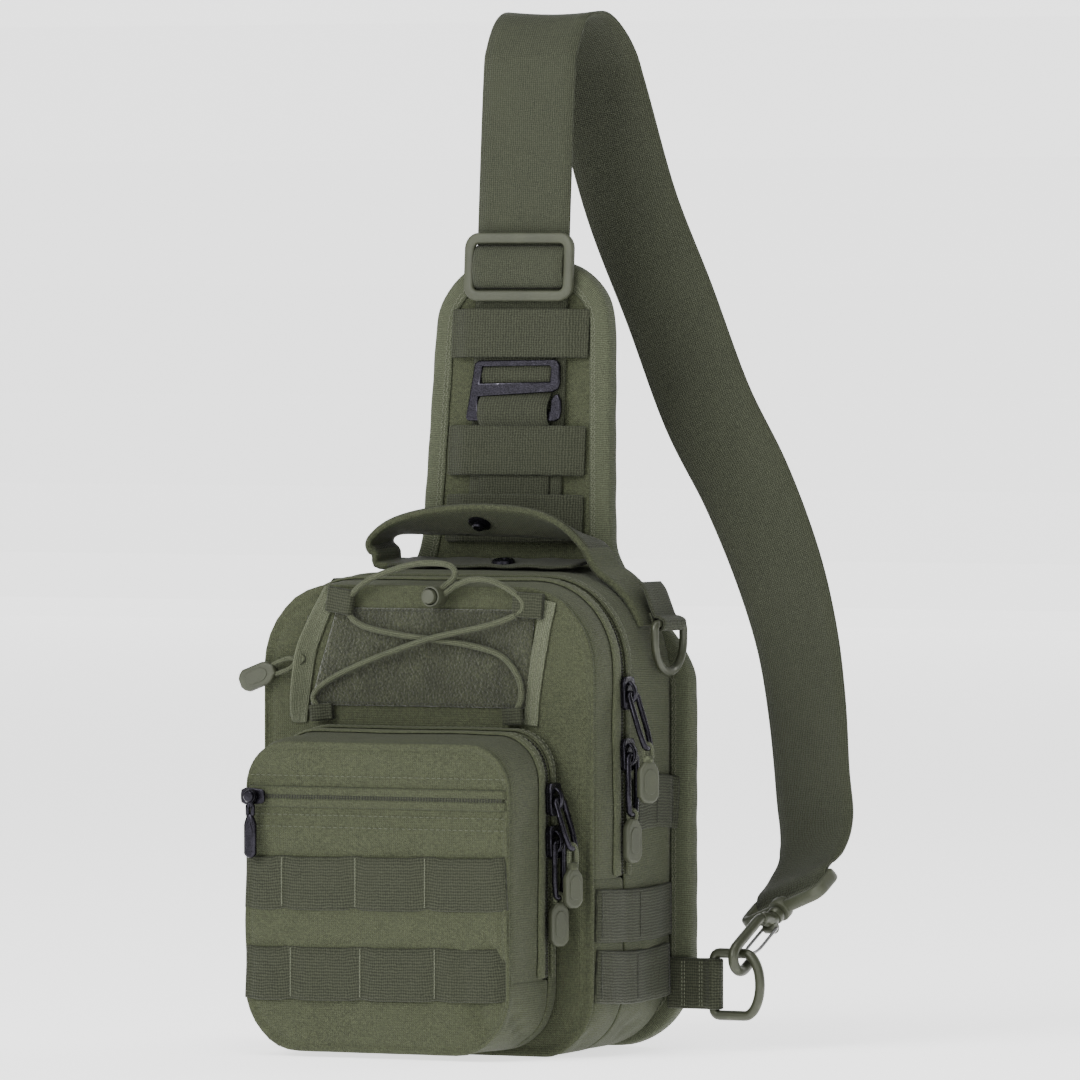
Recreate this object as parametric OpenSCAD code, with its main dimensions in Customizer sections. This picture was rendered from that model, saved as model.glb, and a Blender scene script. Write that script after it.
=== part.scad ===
// Tactical sling bag: padded back panel with a yoke, a main compartment and a front
// pocket that both open along their zips, one shoulder strap, and its fittings.
// Millimetres. +Z is up, -Y is the front, and the origin is the middle of the flat base.

/* [Main body] */
// Width of the main body
body_w = 178; // [172:1:184]
// Height of the main body at its front edge
body_h = 222; // [218:1:226]
// How much higher the body is at its back edge
body_rise = 10; // [6:1:12]
// Height at which the main zip ends on each side
main_zip_end = 84; // [82:1:88]

/* [Front pocket] */
// Width of the front pocket
pocket_w = 142; // [136:1:146]
// Height of the pocket's front edge above the floor
pocket_h = 149; // [144:1:150]
// Depth of the pocket
pocket_d = 50; // [46:1:52]
// Height at which the pocket zip ends on each side
pocket_zip_end = 37; // [34:1:40]

/* [Back panel] */
// Width of the back panel
panel_w = 190; // [186:1:194]
// Width of the yoke at its foot
yoke_w = 102; // [98:1:104]
// Height of the top of the yoke, measured along the panel
yoke_top = 375; // [370:1:380]
// How far the yoke leans back, in degrees
yoke_lean = 4; // [3:0.5:5]
// Width of the binding tape round the panel
binding_w = 11; // [10:1:12]

/* [Webbing] */
// Width of the shoulder strap
strap_w = 50; // [48:1:50]
// Thickness of the shoulder strap
strap_t = 2; // [1.6:0.2:2]
// Width of the load webbing
webbing_w = 25; // [24:1:25]

/* [Hardware] */
// Wire radius of the lower rings
ring_wire_r = 2.4; // [2.2:0.1:2.4]
// Wire radius of the zip pulls
pull_wire_r = 0.8; // [0.7:0.1:0.9]
// Radius of the shock cord
cord_r = 1.3; // [1.2:0.1:1.4]

/* [Hidden] */

fabric_olive = [0.36, 0.38, 0.28];
webbing_olive = [0.28, 0.31, 0.21];
binding_olive = [0.42, 0.45, 0.33];
hardware_olive = [0.34, 0.36, 0.26];
black_metal = [0.08, 0.08, 0.10];

gap = 0.3;            // between bodies that move apart
cloth_t = 1.6;        // thickness of a gusset wall
front_t = 2.5;        // thickness of a front panel
step = 1;             // how far a cutting shape runs past what it cuts

// Planes across the main body, front to back
front_y = -43;
zip_y = -16;
zip_half = 2;
back_y = 43;
gusset_back_y = back_y - 0.1;
body_top_r = 38;
body_foot_r = 25;
zip_inset = 0.8;

// Planes across the front pocket, front to back
pocket_back_y = front_y - front_t;
pocket_front_y = pocket_back_y - pocket_d + front_t;
pocket_zip_y = -56;
pocket_z0 = 3;
pocket_rise = 6;
pocket_top_r = 20;
pocket_foot_r = 22;

// Back panel
panel_foot_r = 30;
yoke_top_w = 95;
yoke_top_r = 33;
shoulder_z0 = 172;
shoulder_z1 = 245;
lean_z = 232;
layer_front = 1.5;
layer_foam = 7.5;
layer_mesh = 9;
binding_front = 0.1;
binding_back = 0.6;

// Layers in front of the yoke, as distances from its front face
strap_in = -0.2;
strap_out = strap_in - strap_t;
hook_web_t = 1.2;
band_t = 1.4;
band_w = 72;
band_rows = [[240, 263], [272, 296], [326, 350]];

// Shoulder strap: its centre line from the yoke over the top and down to the end loop,
// and the direction of its width at each of those points
strap_route = [
    [0, 42.6, 243], [0, 50.2, 352], [0, 57.4, 455], [0.5, 60.5, 477], [2, 70, 491],
    [6, 84, 490], [11, 96, 474], [11.4, 101, 457], [26, 116, 402], [44.7, 118, 354],
    [66, 116, 305], [87, 116.5, 267], [104.5, 115, 229], [117, 111, 195],
    [125, 106, 162], [129.5, 103, 128], [131.5, 103, 106], [131, 99.5, 92.5],
    [128.8, 93.1, 83.5], [128.1, 84.9, 77.8], [129.3, 83.4, 72.9], [131.3, 88.1, 72]];
strap_across = [
    [1, 0, 0], [1, 0, 0], [1, 0, 0], [1, 0, 0], [1, 0, 0],
    [1, 0, 0], [0.99, 0, 0.1], [0.97, 0, 0.2], [0.95, 0, 0.31], [0.93, 0, 0.36],
    [0.92, 0, 0.39], [0.92, -0.03, 0.385], [0.94, -0.1, 0.33], [0.95, -0.2, 0.23],
    [0.94, -0.25, 0.25], [0.92, -0.3, 0.28], [0.9, -0.3, 0.31], [0.893, -0.303, 0.333],
    [0.893, -0.303, 0.333], [0.893, -0.303, 0.333], [0.893, -0.303, 0.333],
    [0.893, -0.303, 0.333]];
strap_steps = 3;      // rings to each stretch of the route

// Snap hook: where the lower ring passes its eye, and how it lies
hook_eye = [124.5, 41, 46.3];
hook_pitch = -58;
hook_yaw = -6.5;
hook_eye_up = 12;     // from the nose to the ring's wire, along the hook
hook_loop_turn = -22.8;
hook_bar_z = 66;      // from the nose to the bar that the strap turns round

// Lower rings
lower_ring_x = 108.6;
lower_ring_y = 41;
lower_ring_z = [16.7, 46.3];
lower_ring_straight = 125;
lower_ring_end = 133;

// Upper rings
upper_ring_x = 93;
upper_ring_y = 24.5;
upper_ring_z = [180, 203];
upper_ring_half = 14.6;
upper_wire_r = 2;

// Carry handle
handle_y = 20;
handle_end_z = 231;
handle_w = 26;
handle_t = 3;

// Shock cord lacing: two strands that meet in the cord lock
lock_centre = [8.4, -50.9, 216.5];
lock_turn = 35;       // direction of the strands in the lock, above the horizontal
lock_r = 5;
strand_off = 1.5;
strand_left = [
    [16.6, -50.9, 224.0], [18.5, -51, 228], [14, -51, 231.5], [0, -51, 232], [-14, -51, 229],
    [-30, -50.5, 223], [-40, -49.5, 214], [-40, -49, 208], [-32, -49.5, 202],
    [-12, -50, 198], [6, -50, 196], [26, -50, 193.5], [42, -50, 189], [51, -50, 180],
    [53, -49.5, 170], [49, -48.5, 161]];
strand_right = [
    [18.3, -50.9, 221.6], [27, -51, 224.5], [38, -51, 224], [49, -50.5, 219],
    [54, -49.5, 213], [50, -50, 208], [36, -51.5, 203], [20, -53, 199.5], [6, -53.2, 196.5],
    [-12, -52.2, 191], [-32, -51, 184], [-50, -50, 176], [-59, -49, 168.5],
    [-56, -48.5, 161.5]];

// Slider places: the middle of each slider
main_slider_z = [171, 142];
pocket_slider_z = [122, 102];
flat_slider = [-64, 122.5];
left_slider = [-66.5, 186];
left_pull_angle = 21; // below the horizontal
pull_lean = 18;       // how far the two upper pulls stand off

// ---------------------------------------------------------------- helpers

function unit(v) = v / norm(v);

// A quarter circle of points, from angle a0
function quarter(c, r, a0, n = 8) =
    [for (i = [0:n]) c + r * [cos(a0 + 90 * i / n), sin(a0 + 90 * i / n)]];

// A rectangle with round corners, its sides drawn in by e
function rounded(w, z0, z1, r_top, r_foot, e = 0) = concat(
    quarter([w / 2 - r_foot, z0 + r_foot], r_foot - e, -90),
    quarter([w / 2 - r_top, z1 - r_top], r_top - e, 0),
    quarter([r_top - w / 2, z1 - r_top], r_top - e, 90),
    quarter([r_foot - w / 2, z0 + r_foot], r_foot - e, 180));

// A smooth curve through the points, with k steps to each stretch
function spline(p, k) = [
    for (i = [0:len(p) - 2]) for (j = [0:k - (i < len(p) - 2 ? 1 : 0)])
        let (t = j / k,
             a = p[max(i - 1, 0)], b = p[i], c = p[i + 1], d = p[min(i + 2, len(p) - 1)])
        0.5 * (2 * b + (c - a) * t + (2 * a - 5 * b + 4 * c - d) * t * t
               + (3 * b - a - 3 * c + d) * t * t * t)];

function tangent(p, i, closed) = closed
    ? unit(p[(i + 1) % len(p)] - p[(i + len(p) - 1) % len(p)])
    : unit(p[min(i + 1, len(p) - 1)] - p[max(i - 1, 0)]);

// A round ring of points across a path
function ring_of(c, t, up, r, sides) =
    let (n = unit(up - (up * t) * t), b = cross(t, n))
    [for (k = [0:sides - 1]) c + r * (cos(360 * k / sides) * n + sin(360 * k / sides) * b)];

// A solid skinned over rings that all have the same number of points
module skin(rings, closed = false) {
    n = len(rings);
    m = len(rings[0]);
    points = [for (r = rings) for (p = r) p];
    sides = [for (i = [0:n - (closed ? 1 : 2)]) for (k = [0:m - 1])
        let (a = i * m + k, b = i * m + (k + 1) % m,
             c = ((i + 1) % n) * m + (k + 1) % m, d = ((i + 1) % n) * m + k)
        each [[a, c, b], [a, d, c]]];
    caps = closed ? [] : [[for (k = [0:m - 1]) k], [for (k = [m - 1:-1:0]) (n - 1) * m + k]];
    polyhedron(points, concat(sides, caps));
}

module tube(path, r, up, closed = false, sides = 8) {
    skin([for (i = [0:len(path) - 1]) ring_of(path[i], tangent(path, i, closed), up, r, sides)],
         closed);
}

// A flat strap along a path, its width along the vectors in across
module ribbon(path, across, w, t) {
    skin([for (i = [0:len(path) - 1])
        let (g = tangent(path, i, false),
             a = unit(across[i] - (across[i] * g) * g) * w / 2,
             n = unit(cross(g, a)) * t / 2)
        [path[i] - a - n, path[i] + a - n, path[i] + a + n, path[i] - a + n]]);
}

// A flat shape in X and Z, drawn out from y0 to y1
module along_y(y0, y1) {
    translate([0, y1, 0]) rotate([90, 0, 0]) linear_extrude(y1 - y0) children();
}

// A flat shape in Y and Z, drawn out from x0 to x1
module along_x(x0, x1) {
    translate([x0, 0, 0]) rotate([90, 0, 90]) linear_extrude(x1 - x0) children();
}

module box(low, high) {
    translate(low) cube(high - low);
}

module both_sides() {
    children();
    mirror([1, 0, 0]) children();
}

// Everything on the yoke's front face: X stays, Y is the distance from that face and Z is
// measured from the line where the yoke starts to lean
module on_yoke() {
    translate([0, back_y, lean_z]) rotate([-yoke_lean, 0, 0]) children();
}

// ---------------------------------------------------------------- body shells

function body_top(y) = body_h + body_rise * (y - front_y) / (back_y - front_y);

// The main body's solid shape from y0 to y1, its sides drawn in by e
module body_solid(y0, y1, e = 0) {
    intersection() {
        along_y(y0, y1)
            polygon(rounded(body_w, 0, body_h + body_rise, body_top_r, body_foot_r, e));
        along_x(-body_w, body_w)
            polygon([[y0 - step, -step], [y1 + step, -step],
                     [y1 + step, body_top(y1 + step) - e], [y0 - step, body_top(y0 - step) - e]]);
    }
}

module body_ring(y0, y1, t, e = 0) {
    difference() {
        body_solid(y0, y1, e);
        body_solid(y0 - step, y1 + step, e + t);
    }
}

function pocket_top(y) =
    pocket_h + pocket_rise * (y - pocket_front_y) / (pocket_back_y - pocket_front_y);

module pocket_solid(y0, y1, e = 0) {
    intersection() {
        along_y(y0, y1)
            polygon(rounded(pocket_w, pocket_z0, pocket_h + pocket_rise,
                            pocket_top_r, pocket_foot_r, e));
        along_x(-pocket_w, pocket_w)
            polygon([[y0 - step, -step], [y1 + step, -step],
                     [y1 + step, pocket_top(y1 + step) - e],
                     [y0 - step, pocket_top(y0 - step) - e]]);
    }
}

module pocket_ring(y0, y1, t, e = 0) {
    difference() {
        pocket_solid(y0, y1, e);
        pocket_solid(y0 - step, y1 + step, e + t);
    }
}

module above(z) {
    intersection() {
        children();
        box([-body_w, -150, z], [body_w, 100, 400]);
    }
}

module below(z) {
    intersection() {
        children();
        box([-body_w, -150, -step], [body_w, 100, z]);
    }
}

// ---------------------------------------------------------------- back panel

// Half width of the panel where its sides sweep in from the body to the yoke
function shoulder(t) =
    yoke_w / 2 + (panel_w - yoke_w) / 4 * (1 + cos(180 * t));

// Slope of that sweep, to keep the binding the same width along it
function shoulder_slope(t) =
    (panel_w - yoke_w) / 4 * PI * sin(180 * t) / (shoulder_z1 - shoulder_z0);

function panel_side(e) = concat(
    quarter([panel_w / 2 - panel_foot_r, panel_foot_r], panel_foot_r - e, -90),
    [for (i = [0:10]) let (t = i / 10)
        [shoulder(t) - e * sqrt(1 + pow(shoulder_slope(t), 2)),
         shoulder_z0 + (shoulder_z1 - shoulder_z0) * t]],
    quarter([yoke_top_w / 2 - yoke_top_r, yoke_top - yoke_top_r], yoke_top_r - e, 0));

function mirrored(p) = [for (i = [len(p) - 1:-1:0]) [-p[i].x, p[i].y]];

// A layer of the panel between two distances behind its front face
module panel_layer(d0, d1, e) {
    rise = tan(yoke_lean) * (yoke_top + step - lean_z);
    intersection() {
        along_y(0, 100) polygon(concat(panel_side(e), mirrored(panel_side(e))));
        along_x(-panel_w, panel_w)
            polygon([[back_y + d0, -step], [back_y + d1, -step], [back_y + d1, lean_z],
                     [back_y + d1 + rise, yoke_top + step],
                     [back_y + d0 + rise, yoke_top + step], [back_y + d0, lean_z]]);
    }
}

module back_panel_front() {
    color(fabric_olive) panel_layer(0, layer_front, binding_w);
}

module back_panel_foam() {
    color("dimgray") panel_layer(layer_front, layer_foam, binding_w);
}

module back_panel_mesh() {
    color(webbing_olive) panel_layer(layer_foam, layer_mesh, binding_w);
}

module back_panel_binding() {
    color(binding_olive) difference() {
        panel_layer(-binding_front, layer_mesh + binding_back, 0);
        panel_layer(-5, 20, binding_w);
    }
}

// ---------------------------------------------------------------- main compartment

module rear_gusset() {
    lining_t = 0.8;
    color(fabric_olive) {
        body_ring(zip_y + zip_half, gusset_back_y, cloth_t);
        body_solid(gusset_back_y - lining_t, gusset_back_y);
    }
}

module lower_gusset() {
    color(fabric_olive) below(main_zip_end)
        body_ring(front_y + gap, zip_y + zip_half, cloth_t);
}

module main_zip_tape_rear() {
    color(black_metal) above(main_zip_end + gap)
        body_ring(zip_y + gap / 2, zip_y + zip_half, cloth_t, zip_inset);
}

// A flat pocket sewn to the inside of the back panel
module inner_sleeve() {
    half = 70;
    z = [6, 150];
    y = [gusset_back_y - 4.4, gusset_back_y - 1];
    color(webbing_olive) box([-half, y[0], z[0]], [half, y[1], z[1]]);
}

// Rows of webbing sewn across both sides
module side_webbing() {
    top_row_z = 105;
    middle_row_z = 54.5;
    foot_row_z = [26, 51];
    foot_row_end = 38;
    t = 1.5;
    x0 = body_w / 2;
    color(webbing_olive) both_sides() {
        box([x0, -5, top_row_z], [x0 + t, gusset_back_y, top_row_z + webbing_w]);
        box([x0, front_y + 2 * gap, middle_row_z],
            [x0 + t, gusset_back_y, middle_row_z + webbing_w]);
        box([x0, front_y + 2 * gap, foot_row_z[0]], [x0 + t, foot_row_end, foot_row_z[1]]);
    }
}

// ---------------------------------------------------------------- yoke

// Bands sewn down at their ends, with room under them for the strap and the hook webbing
module yoke_bands() {
    band_out = strap_out - hook_web_t - 0.4 - band_t;
    color(webbing_olive) on_yoke() for (row = band_rows) difference() {
        box([-band_w / 2, band_out, row[0] - lean_z], [band_w / 2, -0.15, row[1] - lean_z]);
        box([-strap_w / 2 - 0.6, band_out + band_t, row[0] - lean_z - step],
            [strap_w / 2 + 0.6, step, row[1] - lean_z + step]);
    }
}

module g_hook_webbing() {
    half = 18.5;
    color(webbing_olive) on_yoke()
        box([-half, strap_out - 0.2 - hook_web_t, band_rows[0][0] - lean_z],
            [half, strap_out - 0.2, band_rows[2][1] - lean_z]);
}

// A flat metal hook with a slot along its top and an open hook below
module g_hook() {
    w = 51;
    t = 2.2;
    z0 = 298 - lean_z;
    z1 = 325 - lean_z;
    bar = 5;
    front = strap_out - 3.9;
    slot_half = 19.5;
    slot_h = 5.5;
    throat_h = 6;
    mouth_w = 9;
    color(black_metal) on_yoke() along_y(front, front + t)
        difference() {
            translate([-w / 2, z0]) square([w, z1 - z0]);
            translate([-slot_half, z1 - bar - slot_h]) square([2 * slot_half, slot_h]);
            translate([-slot_half, z0 + bar]) square([w, throat_h]);
            translate([w / 2 - mouth_w, z0 - step]) square([mouth_w + step, bar + 2 * step]);
        }
}

// ---------------------------------------------------------------- shoulder strap

module shoulder_strap() {
    path = spline(strap_route, strap_steps);
    across = spline(strap_across, strap_steps);
    color(webbing_olive) ribbon(path, across, strap_w, strap_t);
}

// Three-bar slide buckle
glide_foot_z = 355.5;
glide_h = 33;

module tri_glide() {
    w = 59;
    corner_r = 6;
    bar = 5;
    window_w = 51.5;
    window_h = 21;
    z0 = glide_foot_z - lean_z;
    front = -7;
    middle_front = -5;
    back = strap_out - 0.9;
    color(hardware_olive) on_yoke() {
        along_y(front, back) difference() {
            polygon([for (p = rounded(w, 0, glide_h, corner_r, corner_r)) p + [0, z0]]);
            translate([-window_w / 2, z0 + (glide_h - window_h) / 2])
                square([window_w, window_h]);
        }
        box([-window_w / 2 - step, middle_front, z0 + glide_h / 2 - bar / 2],
            [window_w / 2 + step, back, z0 + glide_h / 2 + bar / 2]);
    }
}

// The strap webbing where it turns over the buckle's middle bar
module strap_hump() {
    mid = glide_foot_z + glide_h / 2 - lean_z;
    half = [4.8, 10];
    t = 1.3;
    half_w = 24.5;
    n = 12;
    y0 = strap_out - 0.4;
    outer = [for (i = [0:n]) [y0 - half.x * sin(180 * i / n), mid - half.y * cos(180 * i / n)]];
    inner = [for (i = [n:-1:0])
        [y0 - (half.x - t) * sin(180 * i / n), mid - (half.y - t) * cos(180 * i / n)]];
    color(webbing_olive) on_yoke() along_x(-half_w, half_w) polygon(concat(outer, inner));
}

// ---------------------------------------------------------------- tails, rings and hook

// Short webbing tails that hold the lower rings
module tail_webbing() {
    z = [lower_ring_z[0] + ring_wire_r + 0.4, lower_ring_z[1] - ring_wire_r - 0.4];
    hole = ring_wire_r + 0.4;
    wall = 1.4;
    c = [lower_ring_x, lower_ring_y];
    color(webbing_olive) both_sides() translate([0, 0, z[0]]) linear_extrude(z[1] - z[0])
        difference() {
            union() {
                translate(c - (hole + wall) * [1, 1]) square(2 * (hole + wall));
                translate([body_w / 2 + 0.3, c.y - hole - wall + 2.6])
                    square([c.x - body_w / 2 - hole, 2]);
            }
            translate(c - hole * [1, 1]) square(2 * hole);
        }
}

// A D-shaped ring in a vertical plane, with its straight bar at lower_ring_x
module lower_ring() {
    z0 = lower_ring_z[0];
    z1 = lower_ring_z[1];
    mid = (z0 + z1) / 2;
    half = (z1 - z0) / 2;
    r = 3;
    x = lower_ring_x;
    n = 14;
    path = concat(
        [for (p = quarter([x + r, z1 - r], r, 90, 3)) [p.x, lower_ring_y, p.y]],
        [for (p = quarter([x + r, z0 + r], r, 180, 3)) [p.x, lower_ring_y, p.y]],
        [for (i = [0:n]) let (a = -90 + 180 * i / n)
            [lower_ring_straight + (lower_ring_end - lower_ring_straight) * cos(a),
             lower_ring_y, mid + half * sin(a)]]);
    tube(path, ring_wire_r, [0, 1, 0], closed = true);
}

module lower_ring_right() {
    color(hardware_olive) lower_ring();
}

module lower_ring_left() {
    color(hardware_olive) mirror([1, 0, 0]) lower_ring();
}

// Webbing loops on the shoulders of the body that hold the upper rings
module upper_ring_tabs() {
    hole = upper_wire_r + 0.4;
    wall = 1.2;
    c = [upper_ring_x, upper_ring_z[1]];
    half = 11.5;
    color(webbing_olive) both_sides()
        along_y(upper_ring_y - half, upper_ring_y + half) difference() {
            union() {
                translate(c - (hole + wall) * [1, 1]) square(2 * (hole + wall));
                polygon([[c.x - hole - wall, c.y + 2], [c.x - 1, c.y + hole + wall],
                         [c.x - 8, c.y + 18], [c.x - 9.5, c.y + 17]]);
            }
            translate(c - hole * [1, 1]) square(2 * hole);
            polygon(rounded(body_w, 0, body_h + body_rise, body_top_r, body_foot_r, -0.1));
        }
}

// A D-shaped ring that hangs beside the body, with its straight bar on top
module upper_ring() {
    z1 = upper_ring_z[1];
    drop = z1 - upper_ring_z[0];
    r = 3;
    n = 12;
    straight = 8;
    x = upper_ring_x;
    y = upper_ring_y;
    h = upper_ring_half;
    path = concat(
        [for (p = quarter([y + h - r, z1 - r], r, 0, 3)) [x, p.x, p.y]],
        [for (p = quarter([y - h + r, z1 - r], r, 90, 3)) [x, p.x, p.y]],
        [for (i = [0:n]) let (a = 180 + 180 * i / n)
            [x, y + h * cos(a), z1 - straight + (drop - straight) * sin(a)]]);
    tube(path, upper_wire_r, [1, 0, 0], closed = true);
}

module upper_ring_right() {
    color(hardware_olive) upper_ring();
}

module upper_ring_left() {
    color(hardware_olive) mirror([1, 0, 0]) upper_ring();
}

// The hook's own frame: Z from its nose to the strap, Y from its shaft to its gate
module on_hook() {
    translate(hook_eye) rotate([0, 0, hook_yaw]) rotate([hook_pitch, 0, 0])
        translate([0, 0, -hook_eye_up]) children();
}

hook_half_gap = 4.2;  // half the width of the hook's eye
hook_bar = 4.6;       // width of the hook's shaft
hook_t = 6;           // thickness of the hook
stem_r = 3;
gate_y = 2.6;
gate_pin_z = 37.5;
gate_foot_z = 16.6;
gate_wire_r = 0.75;

module snap_hook() {
    outer = hook_half_gap + hook_bar;
    tip_z = 18;
    nose_z = outer;
    n = 10;
    bend_out = [for (i = [0:n]) [-outer * cos(180 * i / n), nose_z - outer * sin(180 * i / n)]];
    bend_in = [for (i = [n:-1:0])
        [-hook_half_gap * cos(180 * i / n), nose_z - hook_half_gap * sin(180 * i / n)]];
    color(hardware_olive) on_hook() {
        difference() {
            along_x(-hook_t / 2, hook_t / 2) polygon(concat(
                [[-outer, 36], [-outer, nose_z + 1]], bend_out, [[outer, tip_z]],
                [[hook_half_gap, tip_z]], bend_in, [[-hook_half_gap, 32],
                [gate_y - 3, 34.5], [gate_y + 3, 34.5], [gate_y + 3, 41], [stem_r, 44],
                [-stem_r, 44]]));
            translate([-hook_t, gate_y, gate_pin_z]) rotate([0, 90, 0])
                cylinder(h = 2 * hook_t, r = gate_wire_r + 0.4, $fn = 24);
        }
        translate([0, 0, 43.5]) cylinder(h = 9, r = stem_r, $fn = 48);
        translate([0, 0, 52.2]) cylinder(h = 2, r = stem_r + 1.6, $fn = 48);
    }
}

// Wire gate that closes the hook's mouth from inside
module hook_gate() {
    half = hook_t / 2 + gate_wire_r + 0.35;
    path = [[-half, gate_y, gate_foot_z], [half, gate_y, gate_foot_z],
            [half, gate_y, gate_pin_z], [-half, gate_y, gate_pin_z]];
    color("silver") on_hook() tube(path, gate_wire_r, [0, 1, 0], closed = true);
}

// Rectangular loop at the strap's end, with the hook's stem turning in its foot
module strap_end_loop() {
    w = 58;
    foot = [47.6, 51.9];
    bar_r = 2.6;
    side = 4;
    depth = 7;
    color(hardware_olive) on_hook() rotate([0, 0, hook_loop_turn]) difference() {
        union() {
            box([-w / 2, -depth / 2, foot[0]], [w / 2, depth / 2, foot[1]]);
            for (x = [-w / 2, w / 2 - side])
                box([x, -depth / 2, foot[1] - step], [x + side, depth / 2, hook_bar_z + bar_r]);
            translate([-w / 2 + step, 0, hook_bar_z]) rotate([0, 90, 0])
                cylinder(h = w - 2 * step, r = bar_r, $fn = 24);
        }
        translate([0, 0, foot[0] - step]) cylinder(h = 10, r = stem_r + 0.08, $fn = 48);
    }
}

// ---------------------------------------------------------------- carry handle

// The arch of the handle, with its front edge lifted in the middle
module carry_handle() {
    route = [[-57, handle_y, handle_end_z + 3.5], [-62, handle_y, 240], [-58, handle_y, 245.5],
             [-44, handle_y, 249], [-20, handle_y, 251], [5, handle_y, 251.5],
             [30, handle_y, 250.5], [48, handle_y, 247], [59, handle_y, 241],
             [59, handle_y, handle_end_z + 3.5]];
    lift = [0.1, 0.1, 0, -0.3, -0.6, -0.7, -0.6, -0.3, 0, 0.1];
    across = [for (k = lift) [0, 1, k]];
    color(fabric_olive)
        ribbon(spline(route, 3), spline(across, 3), handle_w, handle_t);
}

module snap_stud() {
    color(black_metal) translate([-6, handle_y, 251.3]) rotate([-33, 0, 0]) {
        translate([0, 0, -3]) cylinder(h = 1.2, r = 5.5, $fn = 32);
        translate([0, 0, -5]) cylinder(h = 2.2, r = 3.2, $fn = 32);
    }
}

// The strip sewn along the top under the handle, and the sewn feet of the handle
module handle_anchor() {
    slope = atan(body_rise / (back_y - front_y));
    half = [50, handle_w / 2];
    t = 1.5;
    color(webbing_olive) translate([0, handle_y, body_top(handle_y)]) rotate([slope, 0, 0])
        box([-half.x, -half.y, gap], [half.x, half.y, gap + t]);
}

module snap_socket() {
    slope = atan(body_rise / (back_y - front_y));
    color(black_metal) translate([0, handle_y, body_top(handle_y)]) rotate([slope, 0, 0])
        translate([8.5, -4, 1.8]) difference() {
            cylinder(h = 1.6, r = 5.5, $fn = 32);
            translate([0, 0, 0.5]) cylinder(h = 3, r = 3.5, $fn = 32);
        }
}

// ---------------------------------------------------------------- front half of the body

module front_panel() {
    foot = 1.5;
    color(fabric_olive) intersection() {
        body_solid(front_y - front_t, front_y);
        box([-body_w, front_y - 10, foot], [body_w, front_y + 10, 300]);
    }
}

module front_gusset() {
    color(fabric_olive) above(main_zip_end + gap)
        body_ring(front_y, zip_y - zip_half, cloth_t);
}

module main_zip_tape_front() {
    color(black_metal) above(main_zip_end + gap)
        body_ring(zip_y - zip_half, zip_y - gap / 2, cloth_t, zip_inset);
}

// Hook-and-loop panel on the front, for a patch
module loop_panel() {
    t = 1.2;
    z = [164, 210.5];
    foot_x = [-57, 54];
    top_x = [-47.5, 57];
    color(webbing_olive) along_y(pocket_back_y - t, pocket_back_y)
        polygon([[foot_x[0], z[0]], [foot_x[1], z[0]], [top_x[1], z[1]], [top_x[0], z[1]]]);
}

// A strip of a given width from x[0] at z[0] to x[1] at z[1]
module slanted(x, z, w) {
    polygon([[x[0] - w / 2, z[0]], [x[0] + w / 2, z[0]], [x[1] + w / 2, z[1]],
             [x[1] - w / 2, z[1]]]);
}

// Light strips sewn on both sides of the loop panel
module side_strips() {
    t = 1;
    w = 7;
    z = [158, 217];
    strips = [[-63, -50.5], [58.5, 62.5]];  // middle of each at its foot and at its top
    color(binding_olive) along_y(pocket_back_y - t, pocket_back_y) for (s = strips)
        slanted(s, z, w);
}

// Small folded webbing loops that the shock cord runs through
module cord_loops() {
    y = [pocket_back_y - 4.6, pocket_back_y - 1.2];
    size = [10, 8];
    middles = [[-40, 212], [53, 212], [-56, 161.5], [48, 161.5]];
    color(webbing_olive) along_y(y[0], y[1]) for (c = middles)
        translate(c - size / 2) square(size);
}

function lock_across() = [-sin(lock_turn), 0, cos(lock_turn)];
function lock_along() = [cos(lock_turn), 0, sin(lock_turn)];

// The shock cord: two strands from the lower loops through the upper ones to the lock
module lacing_cord() {
    color(webbing_olive) for (s = [[strand_left, 1], [strand_right, -1]]) {
        start = lock_centre + s[1] * strand_off * lock_across();
        straight = [for (k = [0:3:9]) start + k * lock_along()];
        tube(concat(straight, spline(s[0], 2)), cord_r, [0, 1, 0]);
    }
}

// Cord lock: a barrel with a slot for the two strands and a sprung button in front
module cord_lock_barrel() {
    slot = [2 * (strand_off + cord_r + gap), 2 * (cord_r + gap)];
    color(hardware_olive) translate(lock_centre) {
        difference() {
            translate([0, 3.3, 0]) rotate([90, 0, 0]) cylinder(h = 9.8, r = lock_r, $fn = 48);
            rotate([0, -lock_turn, 0])
                box([-lock_r - step, -slot.y / 2, -slot.x / 2],
                    [lock_r + step, slot.y / 2, slot.x / 2]);
            translate([0, -2.6, 0]) rotate([90, 0, 0])
                cylinder(h = 10, r = lock_r - 1.2, $fn = 48);
        }
    }
}

module cord_lock_button() {
    color(webbing_olive) translate(lock_centre) translate([0, -5.4, 0]) rotate([90, 0, 0])
        cylinder(h = 3.4, r = lock_r - 1.5, $fn = 48);
}

module left_zip_tape() {
    t = 1;
    w = 4;
    color(black_metal) along_y(pocket_back_y - t, pocket_back_y)
        slanted([-72.4, -62.3], [158, 206], w);
}

// ---------------------------------------------------------------- front pocket

module pocket_back_gusset() {
    color(fabric_olive) pocket_ring(pocket_zip_y + zip_half, pocket_back_y, cloth_t);
}

module pocket_lower_gusset() {
    color(fabric_olive) below(pocket_zip_end)
        pocket_ring(pocket_front_y + gap, pocket_zip_y + zip_half, cloth_t);
}

module pocket_zip_tape_rear() {
    color(black_metal) above(pocket_zip_end + gap)
        pocket_ring(pocket_zip_y + gap / 2, pocket_zip_y + zip_half, cloth_t, zip_inset);
}

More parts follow.
